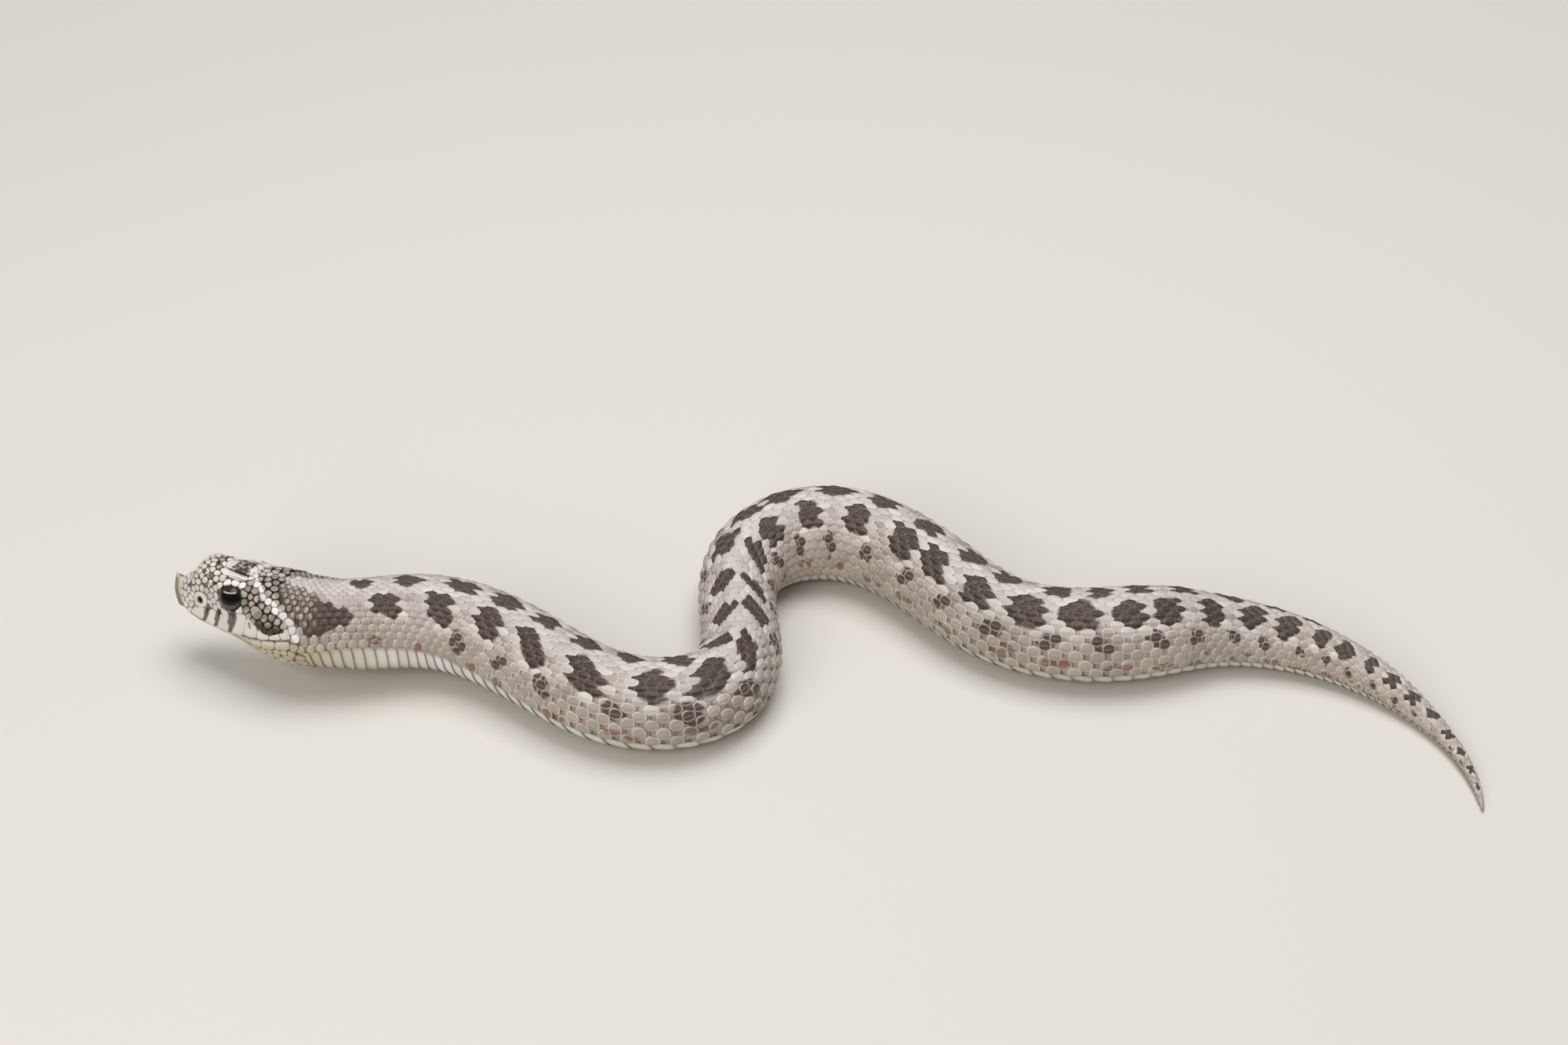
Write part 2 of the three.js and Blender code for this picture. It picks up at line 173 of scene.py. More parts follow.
# Sideways and upward place of the outer skin in its section.
def sectionOffset(s, a):
    sine, cosine = np.sin(a), np.cos(a)
    half, top, wide, chin, upper, lower = [tableAt(head["sections"], s, k) for k in range(1, 7)]
    power = np.where(cosine > 0, upper, lower)
    reach = np.where(cosine > 0, top - wide, wide - chin)
    lip = head["lip"]
    upward = wide + reach * rounded(cosine, power)
    overLip = (upward - tableAt(head["mouth"], s, 1) - lip["above"]) / lip["depth"]
    swell = lip["bulge"] * np.exp(-overLip * overLip) * easeDown(s, lip["fadeFrom"], lip["fadeEnd"])
    rise = headRise(s, a)
    tuck = head["tuck"]
    under = easeUp(tableAt(head["mouth"], s, 1) - upward, 0, tuck["over"])
    inset = 1 - tuck["share"] * under * easeDown(s, tuck["fadeFrom"], tuck["fadeEnd"])
    headSide, headUp = inset * half * rounded(sine, power) + (swell + rise) * sine, upward + rise * cosine
    g = tableAt(body["girth"], s, 1)
    height = g * body["heightShare"]
    bodySide = g * rounded(sine, body["power"])
    bodyUp = np.maximum(height * rounded(cosine, body["power"]), -height * body["bellyShare"])
    inHead = s < head["end"]
    return np.where(inHead, headSide, bodySide), np.where(inHead, headUp, bodyUp)


# How far the outer skin is above the mouth's line.
def overMouth(s, a):
    return sectionOffset(s, a)[1] - tableAt(head["mouth"], s, 1)


def skinPoint(s, a):
    s, a = np.broadcast_arrays(np.asarray(s, float), np.asarray(a, float))
    sideways, upward = sectionOffset(s, a)
    centre, _, left, up = sectionFrame(s)
    return centre + sideways[..., None] * left + upward[..., None] * up


def unit(v):
    return v / np.maximum(np.linalg.norm(v, axis=-1, keepdims=True), 1e-9)


# Place on the outer skin with its directions: tailward, round towards the left, and outward.
def skinFrame(s, a):
    s, a = np.broadcast_arrays(np.asarray(s, float), np.asarray(a, float))
    ds, da = 0.08, 0.015
    low, high = np.maximum(s - ds, 0.5), np.minimum(s + ds, body["length"] - 0.02)
    tailward = (skinPoint(high, a) - skinPoint(low, a)) / (high - low)[..., None]
    around = (skinPoint(s, a + da) - skinPoint(s, a - da)) / (2 * da)
    outward = unit(np.cross(around, tailward))
    return skinPoint(s, a), tailward, around, outward


# Pulls places in space onto the skin: returns distance and angle of the nearest skin.
def ontoSkin(places, s, a, rounds=5):
    s, a = np.broadcast_to(s, places.shape[:-1]).copy(), np.broadcast_to(a, places.shape[:-1]).copy()
    for _ in range(rounds):
        p, ts, ta, _ = skinFrame(s, a)
        r = places - p
        g11, g12, g22 = (ts * ts).sum(-1), (ts * ta).sum(-1), (ta * ta).sum(-1)
        b1, b2 = (r * ts).sum(-1), (r * ta).sum(-1)
        det = np.maximum(g11 * g22 - g12 * g12, 1e-6)
        s = np.clip(s + np.clip((g22 * b1 - g12 * b2) / det, -1, 1), 0.6, body["length"] - 0.1)
        a = a + np.clip((g11 * b2 - g12 * b1) / det, -0.3, 0.3)
    return s, a


# The angle at which the left side of the head is at a height over the spine.
def angleAtHeight(s, height):
    low, high = np.zeros_like(s), np.full_like(s, math.pi)
    for _ in range(24):
        middle = (low + high) / 2
        above = sectionOffset(s, middle)[1] > height
        low, high = np.where(above, middle, low), np.where(above, high, middle)
    return low


eyeSet = {
    "radius": 2.03,
    "s": 10.75, "sideways": 3.58, "upward": 2.96,
    "axisSideways": 0.95, "axisUpward": 0.25,
    "oval": 1.12,  # how much wider its opening is than high
    "look": (0.156, 0.876, 0.453),  # where its pupil points: tailward, sideways, up
    "rimRadius": 2.25, "rimReach": 0.5, "rimRise": 0.3,
    "clear": 1.1, "clearFrom": 1.7, "clearTo": 2.12,
    # how far behind the eye's middle its ring still counts, and the last distance at which the skin has it
    "rear": -0.6, "skinTo": 22,
}


# The eye's place, its line of sight, and the directions along the head and up across it.
def eyeAxes(side):
    centre, _, left, up = sectionFrame(np.array(eyeSet["s"]))
    seat = centre + side * eyeSet["sideways"] * left + eyeSet["upward"] * up
    axis = unit(side * eyeSet["axisSideways"] * left + eyeSet["axisUpward"] * up)
    across = unit(np.cross(axis, (0, 0, 1.0)))
    return seat, axis, across, np.cross(across, axis)


def pupilDirection(side):
    _, along, left, up = sectionFrame(np.array(eyeSet["s"]))
    tailward, sideways, upward = eyeSet["look"]
    return unit(tailward * along + side * sideways * left + upward * up)


# Distance of places from the line of sight of one eye, and how far out along it they are.
def fromEye(places, side):
    seat, axis, across, over = eyeAxes(side)
    away = places - seat
    return np.hypot(away @ across, away @ over * eyeSet["oval"]), away @ axis


def roundEye(side, reach, out, turns):
    seat, axis, across, over = eyeAxes(side)
    turns = np.asarray(turns, float)[:, None]
    return seat + out * axis + reach * (np.cos(turns) * across + np.sin(turns) * over / eyeSet["oval"])


nostril = {"s": 4.9, "angle": 79.0, "radius": 0.6, "depth": 1.2}
mouthGroove = {"depth": 0.42, "width": 0.2, "from": 2.2, "end": 20.3}


# How far the ring of skin round an eye stands out, by the two distances that fromEye gives.
def eyeRim(off, out):
    ring = np.exp(-((off - eyeSet["rimRadius"]) / eyeSet["rimReach"]) ** 2)
    return eyeSet["rimRise"] * ring * (out > eyeSet["rear"])


# How far the bare skin stands over or under its plain shape, in millimetres.
def skinLift(s, a, p):
    lift = np.full(s.shape, -body["coatDepth"])
    for side in (1, -1):
        off, out = fromEye(p, side)
        opening = easeDown(off, eyeSet["clearFrom"], eyeSet["clearTo"]) * (out > eyeSet["rear"])
        lift = lift + (eyeRim(off, out) - eyeSet["clear"] * opening) * (s < eyeSet["skinTo"])
        hole = skinPoint(nostril["s"], math.radians(side * nostril["angle"]))
        away = np.linalg.norm(p - hole, axis=-1) / nostril["radius"]
        lift = lift - nostril["depth"] * np.exp(-away ** 4)
    groove = np.exp(-(overMouth(s, a) / mouthGroove["width"]) ** 2) * (s > mouthGroove["from"])
    return lift - mouthGroove["depth"] * groove * easeDown(s, mouthGroove["end"] - 1, mouthGroove["end"])


# The camera looks down on the animal from 37 degrees above the floor.
view = {"target": (-0.00408, 0.0358, 0.0), "distance": 0.41443, "elevation": 37.0, "lens": 60.0}


def makeCamera():
    data = bpy.data.cameras.new("camera")
    data.lens, data.sensor_width, data.sensor_fit = view["lens"], 36.0, "HORIZONTAL"
    data.clip_start, data.clip_end = 0.01, 20
    camera = bpy.data.objects.new("camera", data)
    e = math.radians(view["elevation"])
    target = Vector(view["target"])
    camera.location = target + view["distance"] * Vector((0, -math.cos(e), math.sin(e)))
    camera.rotation_euler = (math.pi / 2 - e, 0, 0)
    scene.collection.objects.link(camera)
    scene.camera = camera


makeCamera()
print("camera set")


# A socket that does arithmetic by adding Math nodes.
class Wire:
    def __init__(self, finish, socket):
        self.finish, self.socket = finish, socket

    def __add__(self, other):
        return self.finish.sum("ADD", self, other)

    def __sub__(self, other):
        return self.finish.sum("SUBTRACT", self, other)

    def __rsub__(self, other):
        return self.finish.sum("SUBTRACT", other, self)

    def __mul__(self, other):
        return self.finish.sum("MULTIPLY", self, other)

    def __truediv__(self, other):
        return self.finish.sum("DIVIDE", self, other)

    def step(self, low, high):
        return self.finish.node(
            "ShaderNodeMapRange", {"interpolation_type": "SMOOTHSTEP"},
            {"Value": self, "From Min": low, "From Max": high})

    __radd__ = __add__
    __rmul__ = __mul__


def colour(code):
    parts = [int(code[i:i + 2], 16) / 255 for i in (1, 3, 5)]
    return (*[c / 12.92 if c <= 0.04045 else ((c + 0.055) / 1.055) ** 2.4 for c in parts], 1)


# One material and its nodes.
class Finish:
    def __init__(self, name):
        self.material = bpy.data.materials.new(name)
        self.material.use_nodes = True
        self.tree = self.material.node_tree
        self.shader = self.tree.nodes["Principled BSDF"]

    def node(self, kind, settings=None, inputs=None, output=0):
        made = self.tree.nodes.new(kind)
        for key, value in (settings or {}).items():
            setattr(made, key, value)
        for key, value in (inputs or {}).items():
            self.feed(made.inputs[key], value)
        return Wire(self, made.outputs[output])

    def feed(self, socket, value):
        if isinstance(value, Wire):
            self.tree.links.new(value.socket, socket)
        else:
            socket.default_value = value

    def sum(self, operation, *values):
        return self.node("ShaderNodeMath", {"operation": operation}, dict(enumerate(values)))

    def mix(self, share, first, second, blend="MIX"):
        settings = {"data_type": "RGBA", "blend_type": blend, "clamp_factor": True}
        return self.node("ShaderNodeMix", settings, {0: share, 6: first, 7: second}, 2)

    def mask(self, name):
        return self.node("ShaderNodeAttribute", {"attribute_name": name}, None, "Fac")

    def place(self):
        return self.node("ShaderNodeTexCoord", None, None, "Object")

    def noise(self, scale, detail=2.0, rough=0.5):
        inputs = {"Vector": self.place(), "Scale": scale, "Detail": detail, "Roughness": rough}
        return self.node("ShaderNodeTexNoise", None, inputs, "Fac")

    def bump(self, height, strength, distance):
        inputs = {"Height": height, "Strength": strength, "Distance": distance}
        return self.node("ShaderNodeBump", None, inputs, "Normal")

    def set(self, **values):
        for key, value in values.items():
            self.feed(self.shader.inputs[key.replace("_", " ")], value)
        return self.material


# lower edge and height of the band on the colour map
mapBand = (0.04, 0.92)


# Place on the colour map: along the body, and round it from the belly's middle.
def unwrapAt(s, degrees):
    s, degrees = np.broadcast_arrays(s, degrees)
    return np.stack([s / body["length"], mapBand[0] + mapBand[1] * ((degrees + 180) % 360) / 360], -1)


# Faces that cross the belly's middle keep their corners side by side on the colour map.
def closeSeam(data, uv):
    starts, totals = np.empty(len(data.polygons), np.int32), np.empty(len(data.polygons), np.int32)
    data.polygons.foreach_get("loop_start", starts)
    data.polygons.foreach_get("loop_total", totals)
    spread = np.maximum.reduceat(uv[:, 1], starts) - np.minimum.reduceat(uv[:, 1], starts)
    torn = np.repeat((spread > 0.5) & (totals < 9), totals)
    uv[:, 1] += mapBand[1] * (torn & (uv[:, 1] < 0.5))
    return uv


# Writes a named value for each point of a mesh.
def setAttribute(data, name, values, kind="FLOAT"):
    layer = data.attributes.new(name, kind, "POINT")
    field = "vector" if kind == "FLOAT_VECTOR" else "value"
    layer.data.foreach_set(field, np.asarray(values, np.float32).ravel())


# Makes a mesh object from millimetre places, with named masks on its points and its colour map.
def makeMesh(name, places, faces, masks=None, unwrap=None, sharp=None):
    data = bpy.data.meshes.new(name)
    data.from_pydata((np.asarray(places) * mm).tolist(), [], faces)
    data.polygons.foreach_set("use_smooth", np.ones(len(data.polygons), bool))
    for key, values in (masks or {}).items():
        setAttribute(data, key, values)
    if unwrap is not None:
        corner = np.empty(len(data.loops), np.int32)
        data.loops.foreach_get("vertex_index", corner)
        layer = data.uv_layers.new(name="OFBake")
        layer.data.foreach_set("uv", closeSeam(data, np.asarray(unwrap, np.float32)[corner]).ravel())
    if sharp is not None:
        ends = np.empty(len(data.edges) * 2, np.int32)
        data.edges.foreach_get("vertices", ends)
        both = np.asarray(sharp, bool)[ends.reshape(-1, 2)].all(1)
        layer = data.attributes.new("sharp_edge", "BOOLEAN", "EDGE")
        layer.data.foreach_set("value", both)
    data.validate()
    made = bpy.data.objects.new(name, data)
    scene.collection.objects.link(made)
    return made


def finishPiece(piece, material=None):
    if material:
        piece.data.materials.clear()
        piece.data.materials.append(material)
    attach(piece, "root")


# Faces between the rings of a grid of points, each ring closed.
def ringFaces(v):
    ahead = np.roll(v, -1, 1)
    return np.stack([v[:-1], ahead[:-1], ahead[1:], v[1:]], -1).reshape(-1, 4).tolist()


# Turns all faces of a closed shape over if they face inward.
def facingOut(places, faces):
    start = places[faces[0][0]]
    corners = (places[[face[:3] for face in faces]] - start).transpose(1, 0, 2)
    volume = (corners[0] * np.cross(corners[1], corners[2])).sum()
    return [face[::-1] for face in faces] if volume < 0 else faces


# Gathers the plates of one mesh, each with its faces and with named values for its points.
class Plates:
    def __init__(self):
        self.parts, self.faces, self.total = [], [], 0

    def add(self, count, faces, **values):
        self.parts.append(values)
        self.faces += [[corner + self.total for corner in face] for face in faces]
        self.total += count

    def merged(self):
        return {key: np.concatenate([part[key] for part in self.parts]) for key in self.parts[0]}


# Markings: places of the blotches along each side, and how they run.
marks = {
    "left": (31.8, 40.8, 49.8, 57.9, 67.2, 75.9, 83.1, 90, 98.7, 104.7, 112.2, 118.8, 127.5, 136.5, 146.4,
             153.3, 161.4, 168.9, 175.5, 182.1, 188.1, 195.3, 201.6, 207, 212.1, 216, 220.2, 224.1, 228,
             231.6, 235.5, 238.8, 242.1, 245.2),
    "right": (28.8, 35.7, 42.9, 49.8, 56.4, 63.9, 71.7, 79.8, 89.4, 98.4, 105.9, 113.7, 119.4, 124.5, 132,
              138.6, 147, 156, 163.5, 171.9, 178.8, 184.8, 192, 198.6, 204.6, 210),
    # distance, angle of the blotch's middle, half its arc, half its length
    "leftRun": np.array([
        (26, 34, 13, 2.1), (41, 29, 20, 2.3), (58, 24, 22, 2.4), (90, 24, 23, 2.2), (105, 25, 20, 1.9),
        (128, 26, 22, 2.4), (190, 22, 23, 2.1), (202, 16, 26, 1.6), (216, 13, 27, 1.15), (225, 7, 28, 1.0),
        (232, 0, 36, 0.9), (250, 0, 40, 0.7),
    ]),
    "rightRun": np.array([
        (26, -8, 11, 1.7), (43, -15, 14, 2.1), (58, -22, 16, 2.3), (100, -23, 20, 1.9), (113, -27, 18, 1.9),
        (130, -22, 17, 2.3), (190, -24, 17, 2.0), (205, -40, 18, 1.5), (250, -60, 12, 0.8),
    ]),
    # distance, slant of the left and right blotches in millimetres for each degree
    "slant": np.array([
        (30, 0.02, 0.0), (50, 0.06, 0.0), (58, 0.08, 0.0), (67, 0.06, 0.01), (76, 0.0, 0.03),
        (83, -0.045, 0.04), (90, -0.11, 0.06), (98, -0.09, 0.08), (113, -0.09, 0.06), (119, -0.05, 0.04),
        (127, 0.0, 0.0), (137, 0.05, 0.0), (151, 0.09, 0.0), (161, 0.07, 0.0), (175, 0.0, 0.0),
        (250, 0.0, 0.0),
    ]),
    # least and most size of a blotch, spread of its edge, its squareness, and its pale halo's two edges
    "size": (0.92, 1.08), "edge": 0.08, "square": 2.4, "haloFrom": (0.9, 1.05), "haloTo": (1.3, 1.6),
    # how far off a blotch still counts, where the right ones keep to their side, the length behind the last
    # blotch, and the half length for which the small marks have their plain size
    "reach": 9, "apartFrom": 200, "lastGap": 3, "usualHalf": 2.4,
    # the smaller blotch of the side between two large ones, and the rusty flecks under it
    "side": {"angle": 63.0, "arc": 16.0, "tall": (0.8, 1.15), "length": 1.6, "lean": 0.02, "from": 33,
             "strength": (0.75, 1.0)},
    "fleck": {"angle": 93.0, "sink": (-7, 9), "arc": 7.0, "length": 1.2, "from": 26, "strength": (0.6, 1.0),
              "shares": (-0.2, 0.55)},
    "seed": 11,
}

# Head markings, as outlines of distance and angle on the left, mirrored on the right.
headMarks = {
    "dark": {
        "nape": ((13.0, 9), (14.1, 5), (15.6, 3), (17.7, 3.5), (19.5, 9), (21.3, 13), (22.5, 20), (23.7, 26),
                 (25.5, 34), (27.2, 44), (26.6, 54), (24.5, 66), (22.8, 75), (21.6, 73), (20.7, 63),
                 (19.2, 48), (17.1, 35), (15.3, 27), (14.1, 19)),
        "cheek": ((12.8, 31), (13.9, 31), (15.0, 39), (16.4, 46.5), (17.7, 55), (19.2, 63), (19.4, 74),
                  (17.6, 80.5), (15.9, 77), (14.3, 71), (13.2, 62), (12.9, 50)),
        "frontBar": ((6.6, -3), (6.5, 9), (7.0, 20), (7.8, 21), (8.0, 10), (7.3, -3)),
        "browBar": ((9.2, -3), (9.2, 12), (10.2, 15.5), (11.5, 16.5), (12.7, 14), (12.4, 7), (11.9, -3)),
    },
    # half width and course of each pale line
    "pale": {
        "stripe": (0.46, ((12.2, -4), (12.6, 4), (13.1, 10), (14.0, 20), (15.3, 33), (16.3, 39), (17.2, 43.5),
                          (18.6, 53), (19.7, 62), (20.4, 70), (20.9, 79))),
        "frontBar": (0.36, ((7.7, -5), (8.2, 8), (8.7, 20), (8.9, 28))),
        "browLine": (0.16, ((8.8, 22), (10.9, 19.5), (12.1, 21), (12.9, 16))),
    },
    # distance, angle and half width of bright single scales round the eye
    "bright": ((9.8, 39, 0.55), (11.05, 31, 0.5), (12.2, 31, 0.35), (12.1, 44, 0.35), (12.4, 67, 0.4),
               (8.1, 63, 0.4), (9.9, 82, 0.3)),
    "brightShare": 0.9,
    "dots": ((3.4, 30), (4.6, 12), (4.9, 47), (3.0, 52), (5.6, 33), (6.3, 55), (7.0, 38), (4.1, -20),
             (5.8, -40), (7.7, 47), (3.8, -50), (7.2, -52), (9.2, 28)),
    "dotEdge": (0.25, 0.5),
    # top and bottom of each dark wedge between the lip plates, its half width and its strength
    "lipWedges": ((6.6, 81, 6.2, 88, 0.48, 1.0), (6.2, 88, 5.7, 97, 0.28, 1.0),
                  (8.6, 80, 8.3, 87, 0.52, 1.0), (8.3, 87, 7.9, 96, 0.3, 1.0),
                  (11.4, 76, 11.1, 83, 0.85, 1.0), (11.1, 83, 10.8, 92, 0.45, 1.0),
                  (14.2, 76, 14.5, 80, 0.3, 0.6)),
    # millimetres of skin to one degree round the head, as outlines, bright scales and dots take it
    "outlineDegree": 0.11, "brightDegree": 0.1, "dotDegree": 0.09,
}


# A mask that passes 0.5 at an edge, from how deep inside it a place lies.
def ramp(depth, sharpness):
    return np.clip(0.5 + depth * sharpness, 0, 1)


# How far places are from a line on the head, in millimetres.
def fromLine(s, degrees, line):
    best = np.full(s.shape, 99.0)
    y = degrees * headMarks["outlineDegree"]
    flat = [(at, angle * headMarks["outlineDegree"]) for at, angle in line]
    for (ax, ay), (bx, by) in zip(flat, flat[1:]):
        length = (bx - ax) ** 2 + (by - ay) ** 2
        t = np.clip(((s - ax) * (bx - ax) + (y - ay) * (by - ay)) / length, 0, 1)
        best = np.minimum(best, np.hypot(s - ax - t * (bx - ax), y - ay - t * (by - ay)))
    return best


# How deep places lie inside an outline on the head, in millimetres.
def depthInside(s, degrees, outline):
    inside = np.zeros(s.shape, bool)
    y = degrees * headMarks["outlineDegree"]
    flat = [(at, angle * headMarks["outlineDegree"]) for at, angle in outline]
    for (x1, y1), (x2, y2) in zip(flat, flat[1:] + flat[:1]):
        if y1 != y2:
            inside ^= ((y1 > y) != (y2 > y)) & (s < x1 + (y - y1) * (x2 - x1) / (y2 - y1))
    away = fromLine(s, degrees, (*outline, outline[0]))
    return np.where(inside, away, -away)


# The body's dark blotches, the pale skin round them, the small side blotches and the rusty flecks.
def bodyMarks(s, degrees):
    turned = np.abs(degrees)
    draw = np.random.default_rng(marks["seed"])
    small, fleck, power = marks["side"], marks["fleck"], marks["square"]
    dark, halo, side, rust = (np.zeros(s.shape) for _ in range(4))

    for name, sign, column in (("left", 1, 1), ("right", -1, 2)):
        places, onSide = marks[name], degrees * sign > 0
        for at, after in zip(places, (*places[1:], places[-1] + marks["lastGap"])):
            where = np.array(float(at))
            middle, arc, half = (float(tableAt(marks[name + "Run"], where, c)) for c in (1, 2, 3))
            slant = float(tableAt(marks["slant"], where, column))
            size, fade = draw.uniform(*marks["size"]), draw.uniform(-marks["edge"], marks["edge"])
            near = np.abs(s - at) < marks["reach"]
            if sign < 0 and at > marks["apartFrom"]:
                near = near & (degrees < 0)
            along = (s - at - slant * (degrees - middle)) / (half * size)
            far = (np.abs(along) ** power + np.abs((degrees - middle) / arc) ** power) ** (1 / power) + fade
            dark = np.maximum(dark, np.where(near, ramp(1.02 - far, 2.2), 0))
            ring = easeUp(far, *marks["haloFrom"]) * easeDown(far, *marks["haloTo"])
            halo = np.maximum(halo, np.where(near, ring, 0))
            share = half / marks["usualHalf"]
            gapAt = (at + after) / 2 + draw.uniform(-0.5, 0.5)
            tall = small["arc"] * draw.uniform(*small["tall"])
            lean = small["lean"] * (turned - small["angle"])
            far = np.hypot((s - gapAt - lean) / (small["length"] * share),
                           (turned - small["angle"] + draw.uniform(-2, 2)) / tall)
            inSide = ramp(draw.uniform(*small["strength"]) - far, 1.6) * onSide
            side = np.maximum(side, inSide * (at > small["from"]))
            low = fleck["angle"] + draw.uniform(*fleck["sink"])
            for shift in fleck["shares"]:
                fleckAt = at + shift * (after - at) + draw.uniform(-0.7, 0.7)
                far = np.hypot((s - fleckAt) / (fleck["length"] * share),
                               (turned - low + draw.uniform(-9, 9)) / fleck["arc"])
                inFleck = ramp(draw.uniform(*fleck["strength"]) - far, 1.6) * onSide
                rust = np.maximum(rust, inFleck * (at > fleck["from"]))
    return dark, halo, side, rust


# The head's dark patches, its pale lines and scales, and its dots and wedges.
def headMarksAt(s, degrees):
    turned = np.abs(degrees)
    dark, pale, dot = (np.zeros(s.shape) for _ in range(3))
    for outline in headMarks["dark"].values():
        dark = np.maximum(dark, ramp(depthInside(s, turned, outline), 1.8))
    for half, line in headMarks["pale"].values():
        pale = np.maximum(pale, ramp(half - fromLine(s, turned, line), 2.4))
    for at, angle, half in headMarks["bright"]:
        far = np.hypot(s - at, (turned - angle) * headMarks["brightDegree"])
        pale = np.maximum(pale, headMarks["brightShare"] * easeDown(far, half * 0.8, half * 1.3))
    for s1, a1, s2, a2, half, strength in headMarks["lipWedges"]:
        far = fromLine(s, turned, ((s1, a1), (s2, a2)))
        dot = np.maximum(dot, strength * easeDown(far, 0.5 * half, half))
    for at, angle in headMarks["dots"]:
        far = np.hypot(s - at, (degrees - angle) * headMarks["dotDegree"])
        dot = np.maximum(dot, easeDown(far, *headMarks["dotEdge"]))
    return dark, pale, dot


maskNames = ("dark", "halo", "side", "rust", "ringed", "pale", "snout", "lip", "dot", "cream", "belly",
             "shadedFlank", "ridge", "tail", "onHead", "chin")


# Where the masks begin and end, along the body in millimetres and round it in degrees.
spans = {
    "bodyDark": (26.5, 28), "sideFrom": 26, "rust": (104, 118), "cream": (-2, 5), "creamAlong": (20, 24),
    "solid": (21.5, 23.5), "solidRound": (68, 73), "solidFrom": 15.5, "snout": (8, 13),
    # the belly's tan and the flank's darker tone span painted shade
    "lip": (19, 21.5), "lipRound": (64, 74), "belly": (112, 145), "shadedFlank": (40, 95),
    "midline": (0.5, 3.5), "midlineRise": (22, 30), "midlineFall": (150, 230),
    "ridge": (6, 26), "ridgeFall": (185, 235), "tail": (160, 225), "onHead": (19, 27),
    # the chin spans set its painted shade with sand-coloured bounce light; the first of these is millimetres
    # under the mouth's line
    "chin": (-0.1, 1.2), "chinShadeAlong": (20, 34), "chinShadeFrom": 60,
}


# The markings at places of the skin, with painted shade on the flanks, the underside and the chin.
def allMasks(s, a):
    degrees = np.degrees(np.arctan2(np.sin(a), np.cos(a)))
    turned = np.abs(degrees)
    dark, halo, side, rust = bodyMarks(s, degrees)
    headDark, pale, dot = headMarksAt(s, degrees)

    def rise(values, key):
        return easeUp(values, *spans[key])

    def fall(values, key):
        return easeDown(values, *spans[key])

    dark = np.maximum(dark * rise(s, "bodyDark"), headDark * (1 - pale))
    cream = rise(turned - tableAt(body["scuteEdge"], s, 1), "cream") * rise(s, "creamAlong")
    solid = rise(s, "solid") + rise(turned, "solidRound") * (s > spans["solidFrom"])
    midline = fall(turned, "midline") * rise(s, "midlineRise") * fall(s, "midlineFall")
    masks = {
        "dark": dark, "halo": halo * (1 - dark), "pale": pale, "dot": dot, "cream": cream,
        "side": side * (1 - dark) * (s > spans["sideFrom"]) * (1 - cream),
        "rust": rust * (1 - dark) * fall(turned, "rust"), "ringed": 1 - np.clip(solid, 0, 1),
        "snout": fall(s, "snout"), "lip": fall(s, "lip") * rise(turned, "lipRound"),
        "belly": rise(turned, "belly"), "shadedFlank": rise(turned, "shadedFlank"),
        "ridge": np.maximum(midline, fall(turned, "ridge") * fall(s, "ridgeFall")),
        "tail": rise(s, "tail"), "onHead": fall(s, "onHead"),
        "chin": rise(-overMouth(s, a), "chin") * fall(s, "chinShadeAlong") * (turned > spans["chinShadeFrom"]),
    }
    return {key: np.clip(masks[key], 0, 1).ravel() for key in maskNames}


# The markings with each scale's own tint, its dark seams with painted shade, and the painted shade on its
# hidden root.
def scaledMasks(s, a, tint, rim, rootShade=0):
    masks = allMasks(s, a)
    for key, values in (("tint", tint), ("rim", rim), ("rootShade", rootShade)):
        masks[key] = np.broadcast_to(values, s.shape).ravel()
    return masks


paint = {
    "groundHigh": "#b1a6a0", "groundLow": "#9a8d84",
    # the flank colour is painted shade on the lower sides
    "ridge": "#c6beb9", "shadedFlank": "#a6998d", "tail": "#ada196",
    "halo": "#cdc6c0", "side": "#503e33", "rust": "#80543a", "olive": "#6e6149", "cream": "#dedbd6",
    # the tan of the belly and of the chin is painted shade with sand-coloured bounce light
    "belly": "#b3a589", "snout": "#d2ccc1", "lip": "#d8d2c9", "chin": "#b9ab8c", "dot": "#463830",
    # front is painted shade on the shovel's front and the lips' lower front; hole is painted shade in the
    # nostril
    "front": "#85745f", "hole": "#2e2620",
    # paintedHighlightOnDark is a painted highlight on the rims and keels of dark scales
    "dark": "#382c25", "darkHigh": "#4e4037", "paintedHighlightOnDark": "#7a6a5e", "ringed": "#aaa096", "pale": "#e2ddd8",
    # gap: the dark of seams and hidden roots, partly the bare skin's own colour, partly painted shade between
    # scales
    "gap": "#4c4038",
    # how much of each colour shows where its mask is 1, in the order in which they are laid
    "first": (("ridge", 0.75), ("shadedFlank", 0.8), ("tail", 0.6), ("halo", 0.8), ("snout", 1.0), ("lip", 1.0),
              ("side", 1.0)),
    "rustShare": 0.85, "last": (("chin", 0.8), ("dot", 0.85)),
    # where the edges of these masks begin and end
    "steps": (("dark", 0.45, 0.55), ("pale", 0.4, 0.6), ("side", 0.42, 0.58), ("rust", 0.35, 0.65),
              ("dot", 0.25, 0.65)),
    # darkness of the painted shade at seams and roots, and strength of the painted highlights at scale edges
    # and keels
    "rimShade": 0.6, "edgeHighlight": 0.42, "keelHighlight": 0.2, "deepShade": 0.3,
    "rough": 0.5, "skinRough": 0.7, "roughSpread": 0.2, "grain": 1500.0, "bump": 0.4, "bumpDepth": 0.00005,
}


